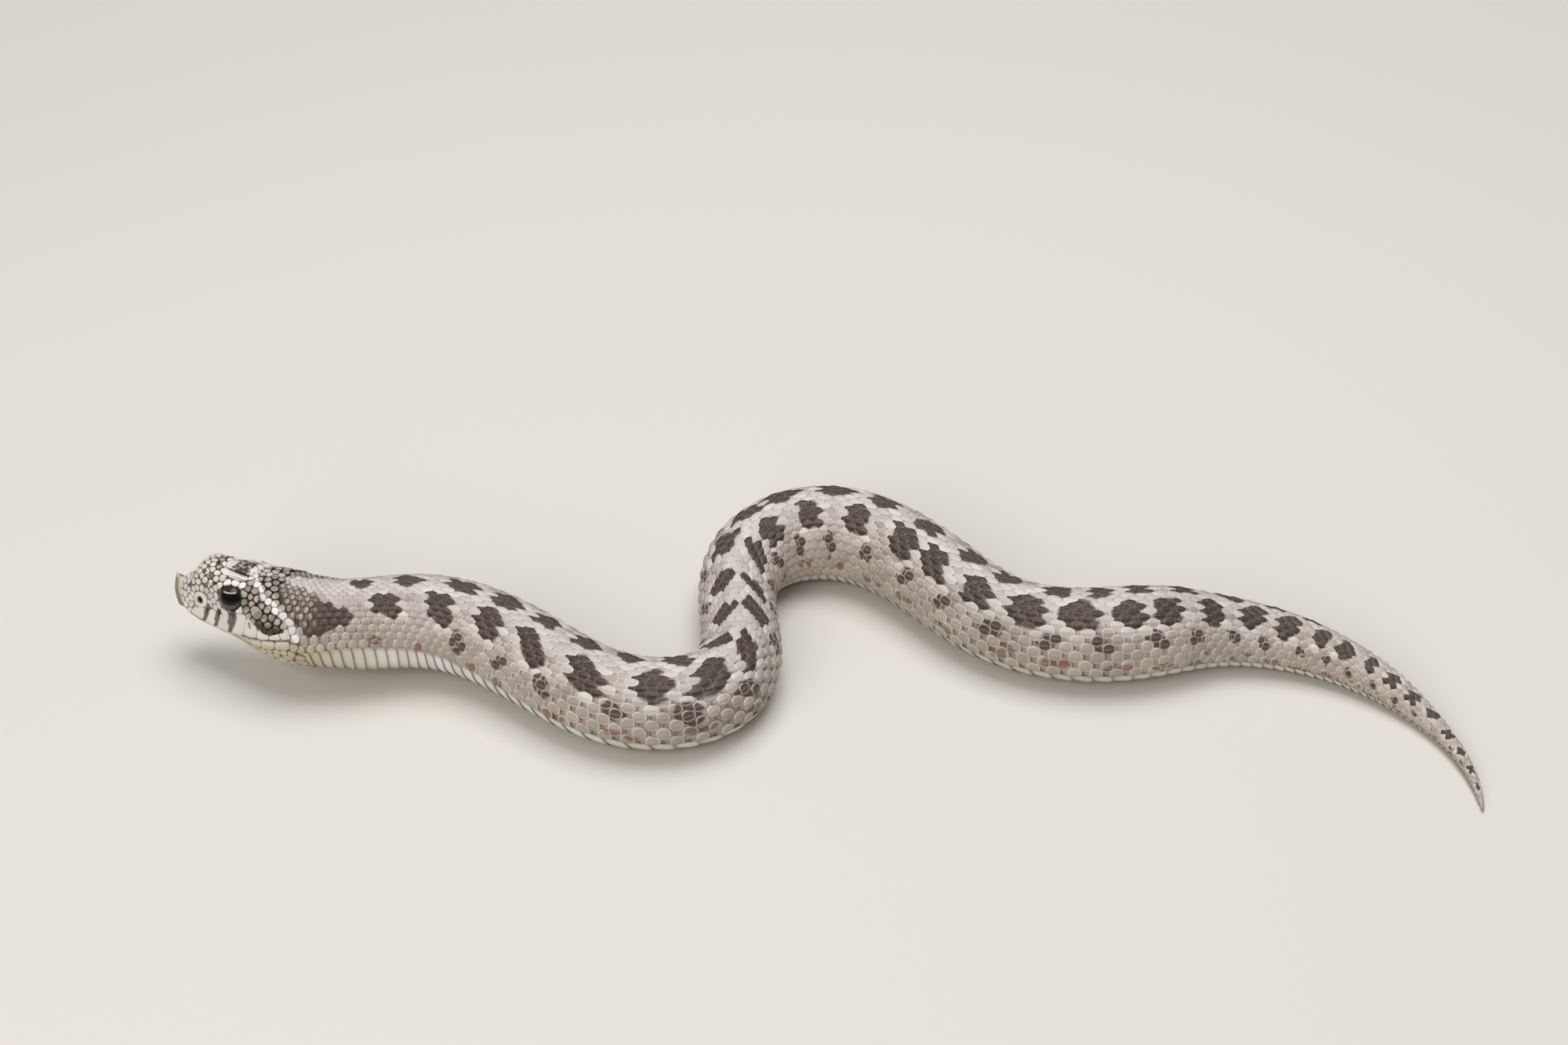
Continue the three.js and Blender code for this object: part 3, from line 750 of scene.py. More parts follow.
# One finish for skin and scales, so that both carry the same markings.
def makeSkinFinish(name, scaled):
    f = Finish(name)
    mask = {key: f.mask(key) for key in maskNames}
    for key, low, high in paint["steps"]:
        mask[key] = mask[key].step(low, high)
    grain, patchy = f.noise(paint["grain"], 3.0, 0.6), f.noise(260, 2.0)
    c = {key: colour(value) for key, value in paint.items() if isinstance(value, str)}
    base = f.mix(patchy.step(0.35, 0.65), c["groundLow"], c["groundHigh"])
    for key, share in paint["first"]:
        base = f.mix(mask[key] * share, base, c[key])
    warm = f.mix(f.noise(420, 1.0).step(0.42, 0.58), c["olive"], c["rust"])
    base = f.mix(mask["rust"] * paint["rustShare"], base, warm)
    # pale scutes that turn tan underneath: painted shade with sand-coloured bounce light
    base = f.mix(mask["cream"], base, f.mix(mask["belly"], c["cream"], c["belly"]))
    # the chin's tan is painted shade with sand-coloured bounce light; the dots are markings
    for key, share in paint["last"]:
        base = f.mix(mask[key] * share, base, c[key])
    spread = grain * paint["roughSpread"] - paint["roughSpread"] / 2
    if scaled:
        own = ("tint", "rim", "keel", "rootShade", "edge", "large")
        tint, rim, keel, rootShade, edge, large = (f.mask(key) for key in own)
        # painted highlight: a light ring round each scale's edge and a light line along its keel
        ring = edge.step(0.45, 0.9)
        base = f.mix(keel * paint["keelHighlight"] + ring * paint["edgeHighlight"], base, c["pale"])
        mottled = f.mix(grain.step(0.4, 0.62) * 0.6, c["dark"], c["darkHigh"])
        # painted highlight on the rims and keels of dark scales
        mottled = f.mix(keel * 0.3 + ring * 0.55, mottled, c["paintedHighlightOnDark"])
        mottled = f.mix(large * f.noise(1300, 2.0).step(0.5, 0.56), mottled, c["ringed"])
        clear = mask["ringed"] * (1 - (rim + edge).step(0.1, 0.75)) * (1 - large)
        mottled = f.mix(clear * (0.55 + 0.45 * f.noise(900, 2.0).step(0.42, 0.5)), mottled, c["ringed"])
        base = f.mix(mask["dark"], base, mottled)
        base = f.mix(mask["pale"], base, c["pale"])
        # painted shade on the shovel's front and the lips' lower front
        base = f.mix(f.mask("front"), base, c["front"])
        # dark seams round the scales: partly their own dark joints, partly painted shade between them
        shadedSeam = rim.step(0.35, 0.95) * paint["rimShade"]
        base = f.mix(shadedSeam * (1 - mask["pale"] * 0.75) * (1 - mask["lip"] * 0.6), base, c["gap"])
        # painted shade on each scale's root where the scale ahead covers it
        base = f.mix(rootShade * paint["deepShade"], base, c["gap"])
        # painted shade inside the nostril pit
        base = f.mix(f.mask("hole"), base, c["hole"])
        bright = 0.88 + tint * 0.24 + (grain - 0.5) * 0.16
        shade = f.node("ShaderNodeCombineColor", None, {"Red": bright, "Green": bright, "Blue": bright})
        base = f.mix(1.0, base, shade, "MULTIPLY")
    else:
        base = f.mix(mask["dark"], base, c["dark"])
        base = f.mix(mask["pale"], base, c["pale"])
        # bare skin between the scales darkened towards the gap colour: its own darker tone with painted shade
        share = (0.25 + 0.45 * mask["onHead"]) * (1 - 0.75 * mask["pale"]) * (1 - 0.5 * mask["lip"])
        base = f.mix(share, base, c["gap"])
    rough = spread + paint["rough" if scaled else "skinRough"]
    return f.set(Base_Color=base, Roughness=rough, Normal=f.bump(grain, paint["bump"], paint["bumpDepth"]))


scaleFinish = makeSkinFinish("keeled_scales", True)
skinFinish = makeSkinFinish("bare_skin", False)

skin = {"headStep": 0.3, "bodyStep": 0.7, "around": 112, "from": 0.5, "floor": 0.03}


def makeSkin():
    onHead = np.arange(skin["from"], head["end"], skin["headStep"])
    onBody = np.arange(head["end"], body["length"] - 0.1, skin["bodyStep"])
    places = np.concatenate([onHead, onBody])
    rings, around = len(places), skin["around"]
    s, a = np.meshgrid(places, np.linspace(-math.pi, math.pi, around, endpoint=False), indexing="ij")
    p, _, _, outward = skinFrame(s, a)
    p = p + skinLift(s, a, p)[..., None] * outward
    p[..., 2] = np.maximum(p[..., 2], skin["floor"])
    index = np.arange(rings * around).reshape(rings, around)
    faces = ringFaces(index) + [index[0][::-1].tolist(), index[-1].tolist()]
    unwrap = unwrapAt(s, np.degrees(a)).reshape(-1, 2)
    piece = makeMesh("skin", p.reshape(-1, 3), faces, allMasks(s, a), unwrap)
    finishPiece(piece, skinFinish)
    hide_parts("head", "lower_jaw", "neck", "body_1", "body_2", "body_3", "body_4", "body_5",
                "body_6", "tail_base", "tail_tip")


makeSkin()
print("skin made")

# One keeled scale, a disc with a hidden root, in units of its pitch, its half width and millimetres of rise.
leaf = {
    "stations": (-0.76, -0.46, -0.35, -0.17, 0.04, 0.24, 0.365, 0.42),
    "across": (-1, -0.84, -0.5, -0.13, 0, 0.13, 0.5, 0.84, 1),
    "front": 0.46, "rear": 0.42, "rootWidth": 0.55, "tipWidth": 0.22,
    "rootLift": -0.16, "tipLift": 0.2, "dome": 0.38, "squareness": 2.6, "keel": 0.11, "tipDrop": 0.22,
    # least height of the dome's run from root to tip, and two powers that shape it
    "arch": (0.35, 0.9, 0.6),
    # shares of the length at which the tip drops, and at which the keel rises and ends
    "tipFrom": 0.45, "keelRise": (0.25, 0.4), "keelFall": (0.88, 0.98),
    # share of the disc that has a painted highlight at its edge, where that highlight begins behind the root,
    # and the root's hidden part, which has painted shade
    "paintedHighlight": (0.55, 0.85), "highlightFrom": -0.42, "rootShadeSpan": (-0.5, -0.3),
}


def makeLeaf():
    x, y = np.meshgrid(leaf["stations"], leaf["across"], indexing="ij")
    t = (x - x[0, 0]) / (x[-1, 0] - x[0, 0])
    reach = np.where(x < 0, leaf["front"], leaf["rear"])
    narrowest = np.where(x < 0, leaf["rootWidth"], leaf["tipWidth"])
    width = np.maximum(np.sqrt(np.maximum(1 - (x / reach) ** 2, 0)), narrowest)
    z = leaf["rootLift"] + (leaf["tipLift"] - leaf["rootLift"]) * t
    least, bow, power = leaf["arch"]
    arch = least + (1 - least) * np.sin(math.pi * t ** bow) ** power
    z = z + leaf["dome"] * (1 - np.abs(y) ** leaf["squareness"]) * arch
    z = z - leaf["tipDrop"] * easeUp(t, leaf["tipFrom"], 1) * (1 - y ** 2 / 2)
    keel = (y == 0) * easeUp(t, *leaf["keelRise"]) * easeDown(t, *leaf["keelFall"])
    z = z + leaf["keel"] * keel
    rows, columns = t.shape
    v = np.arange(rows * columns).reshape(rows, columns)
    top = np.stack([v[:-1, :-1], v[1:, :-1], v[1:, 1:], v[:-1, 1:]], -1).reshape(-1, 4).tolist()
    under = np.stack([v[:-1, 0], v[:-1, -1], v[1:, -1], v[1:, 0]], -1).tolist()
    faces = top + under + [v[0].tolist(), v[-1][::-1].tolist()]
    # the edge points carry the dark seam, partly painted shade, and keep sharp shading
    edge = (np.abs(y) == 1) | (t == 0) | (t == 1)
    # painted highlight in a ring round the disc's edge, and painted shade on its hidden root
    paintedHighlight = easeUp(np.hypot(x / reach, width * y), *leaf["paintedHighlight"]) * (x > leaf["highlightFrom"])
    rootShade = easeDown(x, *leaf["rootShadeSpan"])
    masks = {"edge": paintedHighlight.ravel(), "keel": keel.ravel(), "rootShade": rootShade.ravel(), "rim": edge.ravel() * 1.0}
    places = np.stack([x, width * y, z], -1).reshape(-1, 3) / mm
    made = makeMesh("leaf", places, faces, masks, None, edge.ravel())
    setAttribute(made.data, "leafPlace", np.stack([t - 0.5, width * y, x], -1), "FLOAT_VECTOR")
    return made


# A tree of nodes that grows one scale on each point, laid and bent to the skin.
def makeScaleTree():
    tree = bpy.data.node_groups.new("growScales", "GeometryNodeTree")
    sockets = {}
    for label, kind in (("Points", "NodeSocketGeometry"), ("Scale shape", "NodeSocketObject"),
                        ("Turn", "NodeSocketFloat"), ("Seed", "NodeSocketInt"), ("Patch", "NodeSocketFloat"),
                        ("Finish", "NodeSocketMaterial")):
        sockets[label] = tree.interface.new_socket(label, in_out="INPUT", socket_type=kind).identifier
    tree.interface.new_socket("Geometry", in_out="OUTPUT", socket_type="NodeSocketGeometry")
    given = tree.nodes.new("NodeGroupInput")

    def node(kind, settings=None, inputs=None):
        made = tree.nodes.new(kind)
        for key, value in (settings or {}).items():
            setattr(made, key, value)
        for key, value in (inputs or {}).items():
            if isinstance(value, bpy.types.NodeSocket):
                tree.links.new(value, made.inputs[key])
            else:
                made.inputs[key].default_value = value
        return made

    def named(key, kind="FLOAT_VECTOR"):
        made = node("GeometryNodeInputNamedAttribute", {"data_type": kind}, {"Name": key})
        return made.outputs["Attribute"]

    def maths(operation, *values):
        return node("ShaderNodeMath", {"operation": operation}, dict(enumerate(values))).outputs[0]

    def scaled(first, share):
        return node("ShaderNodeVectorMath", {"operation": "SCALE"}, {0: first, "Scale": share}).outputs[0]

    shape = node("GeometryNodeObjectInfo", None, {"Object": given.outputs["Scale shape"]})
    axes = node("FunctionNodeAxesToRotation", {"primary_axis": "Z", "secondary_axis": "X"},
                {"Primary Axis": named("outward"), "Secondary Axis": named("tailward")})
    low = maths("MULTIPLY", given.outputs["Turn"], -1.0)
    chance = node("FunctionNodeRandomValue", {"data_type": "FLOAT"},
                  {2: low, 3: given.outputs["Turn"], "Seed": given.outputs["Seed"]})
    twist = node("FunctionNodeAxisAngleToRotation", None, {"Axis": (0, 0, 1), "Angle": chance.outputs[1]})
    turned = node("FunctionNodeRotateRotation", {"rotation_space": "LOCAL"},
                  {"Rotation": axes.outputs[0], "Rotate By": twist.outputs[0]})
    grown = node("GeometryNodeInstanceOnPoints", None, {
        "Points": given.outputs["Points"], "Instance": shape.outputs["Geometry"],
        "Rotation": turned.outputs[0], "Scale": named("span")})
    real = node("GeometryNodeRealizeInstances", None, {"Geometry": grown.outputs[0]})
    place = node("ShaderNodeSeparateXYZ", None, {"Vector": named("leafPlace")})
    span = node("ShaderNodeSeparateXYZ", None, {"Vector": named("span")})
    off = maths("MULTIPLY", place.outputs[1], span.outputs[1])
    sag = maths("MULTIPLY", maths("MULTIPLY", off, off), maths("MULTIPLY", named("bend", "FLOAT"), -0.5))
    bent = node("GeometryNodeSetPosition", None,
                {"Geometry": real.outputs[0], "Offset": scaled(named("outward"), sag)})
    inPatch = scaled(named("leafPlace"), given.outputs["Patch"])
    unwrap = node("ShaderNodeVectorMath", {"operation": "ADD"}, {0: named("patch"), 1: inPatch})
    stored = node("GeometryNodeStoreNamedAttribute", {"data_type": "FLOAT2", "domain": "CORNER"},
                  {"Geometry": bent.outputs[0], "Name": "OFBake", "Value": unwrap.outputs[0]})
    dressed = node("GeometryNodeSetMaterial", None,
                   {"Geometry": stored.outputs[0], "Material": given.outputs["Finish"]})
    node("NodeGroupOutput", None, {0: dressed.outputs[0]})
    return tree, sockets


coat = {
    # distance, distance from one scale of a row to the next
    "pitch": np.array([
        (14, 0.85), (20, 0.98), (24, 1.12), (28, 1.35), (33, 1.7), (40, 2.1), (60, 2.45), (100, 2.4),
        (185, 2.4), (198, 2.0), (212, 1.6), (225, 1.3), (238, 1.0), (250, 0.75),
    ]),
    "rows": 11, "widen": 0.045, "widenMore": 0.005,
    # pairs of rows that run out on the tail, and where
    "ending": ((4, 5, 196), (7, 8, 205), (2, 3, 217), (9, 10, 231)),
    "endOver": 5.0,
    "from": (17.5, 20.9), "fromAngles": (14, 72),
    # half width of a scale in widths of its row on the flank, and how much wider it is on the back
    "half": (0.76, 0.1),
    # the share of that left at the neck, and where it grows to the whole
    "halfAtNeck": (0.84, 19, 34),
    # how much of its length keeps to the pitch where the bends stretch the skin, and the limits of that
    "lie": 0.35, "lieLimits": (0.7, 1.06),
    # how much of its own breadth a scale follows the blotches and the small flecks
    "markShares": (0.2, {"side": 0.5, "rust": 0.8, "halo": 0.0}),
    # spread of the scales' places along and round, and of their size
    "scatter": (0.03, 0.15), "sizeSpread": 0.035,
    # most of a scale's pitch in its row's widths, the pitch of one unit of thickness, and the power between
    "thickness": (1.25, 2.4, 0.75),
    "turn": 0.06, "patch": 0.003, "seed": 5, "countFrom": 10, "countStep": 0.1,
    "pieces": (0, 62, 112, 166, 260),
}


def rowAngles(s):
    rows = np.arange(-coat["rows"], coat["rows"] + 1)
    size = np.abs(rows)
    width = 1 + coat["widen"] * size + coat["widenMore"] * size ** 2
    width = width * np.ones(s.shape + (1,))
    for first, second, at in coat["ending"]:
        share = easeDown(s, at - coat["endOver"], at + coat["endOver"])[..., None]
        width = np.where((size == first) | (size == second), width * share, width)
    edge = np.cumsum(width, -1)
    middle = edge - width / 2 - edge[..., -1:] / 2
    whole = 2 * tableAt(body["scuteEdge"], s, 1)[..., None] / edge[..., -1:]
    return rows, middle * whole, width * whole


# The number of pitches counted along the body, at small steps.
def lieCount():
    steps = np.arange(coat["countFrom"], body["length"] + 1, coat["countStep"])
    return steps, np.cumsum(coat["countStep"] / tableAt(coat["pitch"], steps, 1))


# Distance from the snout at which the keeled scales begin, by the angle from the back's middle.
def coatStart(turned):
    start, end = coat["from"]
    return start + (end - start) * easeUp(turned, *coat["fromAngles"])


# Where each scale of the body sits: distance, angle and width in degrees.
def coatPlaces():
    steps, count = lieCount()
    found = []
    rows, angles, widths = rowAngles(steps)
    for k, row in enumerate(rows):
        at = np.arange(math.ceil(count[0]), math.floor(count[-1])) + 0.5 * (row % 2)
        s = np.interp(at, count, steps)
        angle, width = np.interp(s, steps, angles[:, k]), np.interp(s, steps, widths[:, k])
        full = np.interp(s, steps, np.median(widths, 1))
        kept = (s > coatStart(np.abs(angle))) & (s < body["length"] - 1.2) & (width > 0.3 * full)
        found.append(np.stack([s, angle, width], 1)[kept])
    return np.concatenate(found)


# Gives every point of the grown scales its share of the markings.
def markScales(data):
    read = {}
    for key in ("leafPlace", "home", "reach"):
        values = np.empty(len(data.vertices) * 3, np.float32)
        data.attributes[key].data.foreach_get("vector", values)
        read[key] = values.reshape(-1, 3).astype(float)
    found = {}
    usual, special = coat["markShares"]
    for share in sorted({usual, *special.values()}):
        s = read["home"][:, 0] + share * read["leafPlace"][:, 2] * read["reach"][:, 0]
        a = read["home"][:, 1] + share * read["leafPlace"][:, 1] * read["reach"][:, 1]
        for key, values in allMasks(s, a).items():
            if special.get(key, usual) == share:
                found[key] = values
    for key, values in found.items():
        setAttribute(data, key, values)


def makeCoat():
    shape = makeLeaf()
    tree, sockets = makeScaleTree()
    places = coatPlaces()
    draw = np.random.default_rng(coat["seed"])
    for column, spread in enumerate(coat["scatter"]):
        places[:, column] += draw.normal(0, spread, len(places))
    s, a = places[:, 0], np.radians(places[:, 1])
    p, ts, ta, outward = skinFrame(s, a)
    stretch, girthRate = np.linalg.norm(ts, axis=1), np.linalg.norm(ta, axis=1)
    pitch = tableAt(coat["pitch"], s, 1)
    halfShare = coat["half"][0] + coat["half"][1] * easeDown(np.abs(places[:, 1]), 10, 50)
    least, *neck = coat["halfAtNeck"]
    halfShare = halfShare * (least + (1 - least) * easeUp(s, *neck))
    width = np.radians(places[:, 2]) * girthRate
    size = draw.normal(1, coat["sizeSpread"], (len(places), 3))
    length = pitch * np.clip(coat["lie"] + (1 - coat["lie"]) * stretch, *coat["lieLimits"])
    widest, usual, power = coat["thickness"]
    thick = (np.minimum(pitch, width * widest) / usual) ** power
    span = np.stack([length, width * halfShare, thick], 1) * size
    bend = np.linalg.norm(np.cross(outward, skinFrame(s, a + 0.08)[3]), axis=1) / (0.08 * girthRate)
    tint = draw.uniform(0, 1, len(s))
    home = np.stack([s, a, s * 0], 1)
    reach = np.stack([length / stretch, -np.radians(places[:, 2]) * halfShare, s * 0], 1)
    patch = np.concatenate([unwrapAt(s, places[:, 1]), s[:, None] * 0], 1)
    for k, (start, end) in enumerate(zip(coat["pieces"], coat["pieces"][1:])):
        here = (s >= start) & (s < end)
        points = makeMesh("points", (p - body["coatDepth"] * outward)[here], [], {"tint": tint[here]})
        vectors = {"outward": outward, "tailward": unit(ts), "span": span * mm, "patch": patch, "home": home,
                   "reach": reach}
        for key, values in vectors.items():
            setAttribute(points.data, key, values[here], "FLOAT_VECTOR")
        setAttribute(points.data, "bend", bend[here] / mm)
        grower = points.modifiers.new("grow", "NODES")
        grower.node_group = tree
        for label, value in (("Scale shape", shape), ("Turn", coat["turn"]), ("Seed", coat["seed"] + k),
                             ("Patch", coat["patch"]), ("Finish", scaleFinish)):
            grower[sockets[label]] = value
        data = bpy.data.meshes.new_from_object(points.evaluated_get(bpy.context.evaluated_depsgraph_get()))
        bpy.data.objects.remove(points)
        markScales(data)
        for key in ("outward", "tailward", "span", "bend", "patch", "leafPlace", "home", "reach"):
            if key in data.attributes:
                data.attributes.remove(data.attributes[key])
        piece = bpy.data.objects.new(f"coat_{k + 1}", data)
        scene.collection.objects.link(piece)
        finishPiece(piece)
        print("coat piece", k + 1, "with", int(here.sum()), "scales,", len(data.polygons), "faces")
    bpy.data.objects.remove(shape)


makeCoat()
print("coat made")

scutes = {
    "from": 21.6, "vent": 198.0, "to": 247.5, "overlap": (0.72, 0.5), "under": 3.0, "around": 26, "along": 5,
    "lift": (-0.36, -0.03), "edge": 0.1, "bow": 0.18, "thick": 0.09, "seed": 17,
    # least height over the floor of a scute's outer and inner side
    "floors": (0.004, 0.02),
}


# One smooth plate between two angles, lapping over the next.
def addScute(plates, middle, pitch, start, end, tint):
    along, around = np.linspace(0, 1, scutes["along"]), np.linspace(0, 1, scutes["around"])
    t, u = np.meshgrid(along, around, indexing="ij")
    side = np.abs(2 * u - 1)
    s = middle + pitch * (-scutes["overlap"][0] + sum(scutes["overlap"]) * t)
    s = s - scutes["bow"] * pitch * side ** 8 * t
    s = np.clip(s, scutes["from"] - 3, body["length"] - 0.3)
    a = np.radians(start + (end - start) * u)
    p, _, _, outward = skinFrame(s, a)
    lift = scutes["lift"][0] + (scutes["lift"][1] - scutes["lift"][0]) * t ** 0.8
    lift = lift - scutes["edge"] * (t > 0.98)
    sides = []
    for down, least in zip((0, scutes["thick"]), scutes["floors"]):
        layer = p + (lift - down)[..., None] * outward
        layer[..., 2] = np.maximum(layer[..., 2], least)
        sides.append(layer.reshape(-1, 3))
    v = np.arange(t.size).reshape(t.shape)
    w = v + t.size
    over = np.stack([v[:-1, :-1], v[:-1, 1:], v[1:, 1:], v[1:, :-1]], -1).reshape(-1, 4)
    under = np.stack([w[:-1, :-1], w[1:, :-1], w[1:, 1:], w[:-1, 1:]], -1).reshape(-1, 4)
    ring = np.concatenate([v[0, :-1], v[:-1, -1], v[-1, :0:-1], v[:0:-1, 0]])
    wall = np.stack([np.roll(ring, -1), ring, ring + t.size, np.roll(ring, -1) + t.size], -1)
    # a dark seam with painted shade at the scute's tail edge, and painted shade on its root under the scute
    # ahead
    looks = np.stack([s, a, t * 0 + tint, (t > 0.98) * 1.0, 0.5 * easeDown(t, 0.1, 0.45)], -1)
    sharp = ((t == 0) | (t == 1) | (u == 0) | (u == 1)).ravel()
    plates.add(2 * t.size, np.concatenate([over, under, wall]).tolist(), places=np.concatenate(sides),
               looks=np.tile(looks.reshape(-1, 5), (2, 1)), sharp=np.tile(sharp, 2))


# Scutes across the belly, one to each ring of scales, and in two rows past the vent.
def makeScutes():
    steps, count = lieCount()
    middles = np.interp(np.arange(math.ceil(count[0]), math.floor(count[-1])), count, steps)
    draw = np.random.default_rng(scutes["seed"])
    plates = Plates()
    for middle in middles[(middles > scutes["from"]) & (middles < scutes["to"])]:
        where = np.array(float(middle))
        pitch = float(tableAt(coat["pitch"], where, 1))
        edge = float(tableAt(body["scuteEdge"], where, 1)) - scutes["under"]
        bands = ((0, edge, 181.5), (pitch / 2, 178.5, 360 - edge))
        if middle < scutes["vent"]:
            bands = ((0, edge, 360 - edge),)
        for behind, start, end in bands:
            addScute(plates, middle + behind, pitch, start, end, draw.uniform(0.2, 0.8))
    got = plates.merged()
    s, a, tint, rim, rootShade = got["looks"].T
    masks = scaledMasks(s, a, tint, rim, rootShade)
    unwrap = unwrapAt(s, np.degrees(a))
    piece = makeMesh("belly_scutes", got["places"], plates.faces, masks, unwrap, got["sharp"])
    finishPiece(piece, scaleFinish)
    print("belly scutes:", len(piece.data.polygons), "faces")


makeScutes()


mosaic = {
    # outlines of the large plates on the left, as distance and angle, mirrored where both is true
    "plates": {
        "frontal": (((7.9, 0), (8.2, 8), (9.6, 11), (11.2, 9.5), (12.4, 5), (12.9, 0), (12.4, -5),
                     (11.2, -9.5), (9.6, -11), (8.2, -8)), False, 0.16),
        "supraocular": (((7.8, 12), (7.7, 20), (8.6, 26), (10.2, 28.5), (11.9, 27.5), (12.7, 22),
                         (12.4, 13), (11.3, 12), (9.6, 13.2)), True, 0.22),
        "nasal": (((3.75, 77), (4.2, 69), (5.5, 67), (6.35, 73), (6.3, 82), (5.1, 86), (4.0, 84)), True,
                  0.16),
        "temporal": (((14.25, 60), (14.7, 53.5), (15.6, 52.5), (16.4, 57), (16.4, 64), (15.7, 69),
                      (14.8, 67.5)), True, 0.26),
        "mental": (((1.0, 152), (1.0, 180), (1.0, 208), (2.8, 201), (3.3, 180), (2.8, 159)), False, 0.08),
        "chinFront": (((3.5, 178.6), (3.3, 166), (4.2, 157), (6.6, 153), (9.2, 160), (9.5, 178.6)), True,
                      0.1),
        "chinRear": (((9.8, 178.6), (9.6, 162), (11.4, 157), (13.6, 165), (13.0, 178.6)), True, 0.1),
    },
    "upperLip": {
        "near": (3.0, 5.5, 7.8, 10.7, 13.3, 15.7, 17.5, 19.0, 20.2), "rise": 0.1,
        "far": (3.6, 6.6, 8.6, 11.6, 13.7, 15.8, 17.6, 18.8, 19.8),
        "edge": np.array([(3.4, 87), (4.6, 85), (6.7, 82), (8.7, 81), (9.6, 81), (11.1, 77.5), (12.3, 72),
                          (13.7, 71), (14.7, 74), (15.8, 77), (17.6, 80), (18.6, 75), (19.2, 71),
                          (19.8, 68)]),
    },
    "lowerLip": {
        "near": (2.6, 4.4, 6.5, 8.8, 11.4, 14.0, 16.2, 18.2, 20.0), "rise": 0.1,
        "far": (2.4, 4.2, 6.3, 8.6, 11.2, 13.8, 16.0, 18.0, 19.9),
        "reach": 1.5,  # how far each goes down from the mouth
    },
    "mouthGap": (0.08, 0.28),
    # half width of the small scales, how much more it is from one place to another, and less before the eye
    "grain": {"least": 0.43, "face": (0.02, 5, 9), "crown": (0.07, 12, 17), "throat": (0.34, 112, 135),
              "lore": (0.07, 7.6, 1.4, 74, 12)},
    "slit": {"middle": 0.05, "half": 0.42, "from": 2.4, "to": 20.2},
    # scales round each eye, their distance from its middle, their half width, and how far out they sit
    "ring": (13, 2.58, 0.45, 0.4),
    # where the search for the ring scales' places on the skin begins, how near they may stand to a single
    # scale, the least distance of both from a plate, and the spread of the ring scales' size
    "ringFrom": (10.5, 0.98), "ringApart": 0.85, "ringClear": 0.2, "ringSizes": (0.92, 1.1),
    # distance, angle, half width of single scales that stand out
    "single": ((8.8, 33, 0.55), (9.9, 38.5, 0.6), (11.05, 31, 0.58), (12.2, 31, 0.45), (12.4, 67, 0.5),
               (8.1, 63, 0.5), (14.0, 44, 0.5), (14.3, 35, 0.55)),
    "gap": 0.03, "sides": 16, "plateSides": 36, "seed": 23, "low": -0.17,
    "mottled": ("frontal", "supraocular"),
    # for each kind of plate its rings as shares of its edge, their lifts as shares of its rise, how much of
    # the dark seam with painted shade and of the nostril's painted shade each holds, the depth of its hidden
    # edge, and how far markings cross it
    "domes": {
        "grain": {"rings": (1.0, 1.0, 0.93, 0.78, 0.5, 0.22), "lifts": (-0.5, 0.25, 0.68, 0.9, 1.0, 1.0),
                  "seamShades": (1, 1, 0.85, 0.35, 0.05, 0), "holeShades": (0,) * 6, "sink": -0.44, "share": 0.65},
        "plate": {"rings": (1.0, 1.0, 0.96, 0.88, 0.6, 0.25), "lifts": (-0.5, 0.3, 0.75, 0.95, 1.0, 1.0),
                  "seamShades": (1, 1, 0.75, 0.1, 0, 0), "holeShades": (0,) * 6, "sink": -0.44, "share": 1.0},
        "nasal": {"rings": (1.0, 1.0, 0.96, 0.88, 0.6, 0.44, 0.36, 0.3),
                  "lifts": (-0.5, 0.3, 0.75, 0.95, 1.0, 0.85, -1.6, -4.0),
                  "seamShades": (1, 1, 0.75, 0.1, 0, 0, 0, 0), "holeShades": (0, 0, 0, 0, 0, 0.35, 1, 1),
                  "sink": -1.1, "share": 1.0},
    },
    # how near an outline's places must be to count for a scale, and how far off its plane they may lie
    "outlineSight": (3.2, 3.5),
    "spread": {"from": 0.9, "to": 21.4, "step": 0.36, "turn": 3.6, "scatter": (0.2, 2.0), "apart": 0.86,
               "clear": 0.12, "beforeCoat": 0.25, "throatMore": 0.8, "throat": (100, 130)},
    "relax": {"rounds": 14, "reach": 1.08, "border": 0.72, "push": 0.3},
    # least distance of the small scales from the line of sight, and the edge of the eye's opening
    "eyeClear": 3.0, "eyeEdge": (2.08, 0.5, 28),
    # how far a small scale looks for its neighbours, how square it is, its farthest reach in half widths,
    # and how near a plate or eye must be to hold it back
    "sight": 2.6, "square": 9, "most": 1.9, "wallSight": (3, 4.2),
    # rise of a small scale: its least, its share of the half width, and the spread of that
    "grainRise": (0.1, 0.22), "riseSpread": (0.85, 1.15),
    # half width of the first scales of the body, in pitches
    "coatHalf": 0.46,
}


# Half width of the small scales wanted at a place of the head.
def grainSize(s, degrees):
    look, turned = mosaic["grain"], np.abs(degrees)

    def more(values, key):
        share, *span = look[key]
        return share * easeUp(values, *span)

    less, at, along, angle, around = look["lore"]
    size = look["least"] + more(s, "face") + more(s, "crown")
    size = size - less * np.exp(-((s - at) / along) ** 2 - ((turned - angle) / around) ** 2)
    return size + more(turned, "throat")


# An outline as places in space, with points added between its corners.
def outlineInSpace(points, steps=4):
    share = np.arange(steps)[None, :, None] / steps
    fine = points[:, None] * (1 - share) + np.roll(points, -1, 0)[:, None] * share
    s, degrees = fine.reshape(-1, 2).T
    return skinPoint(s, np.radians(degrees))


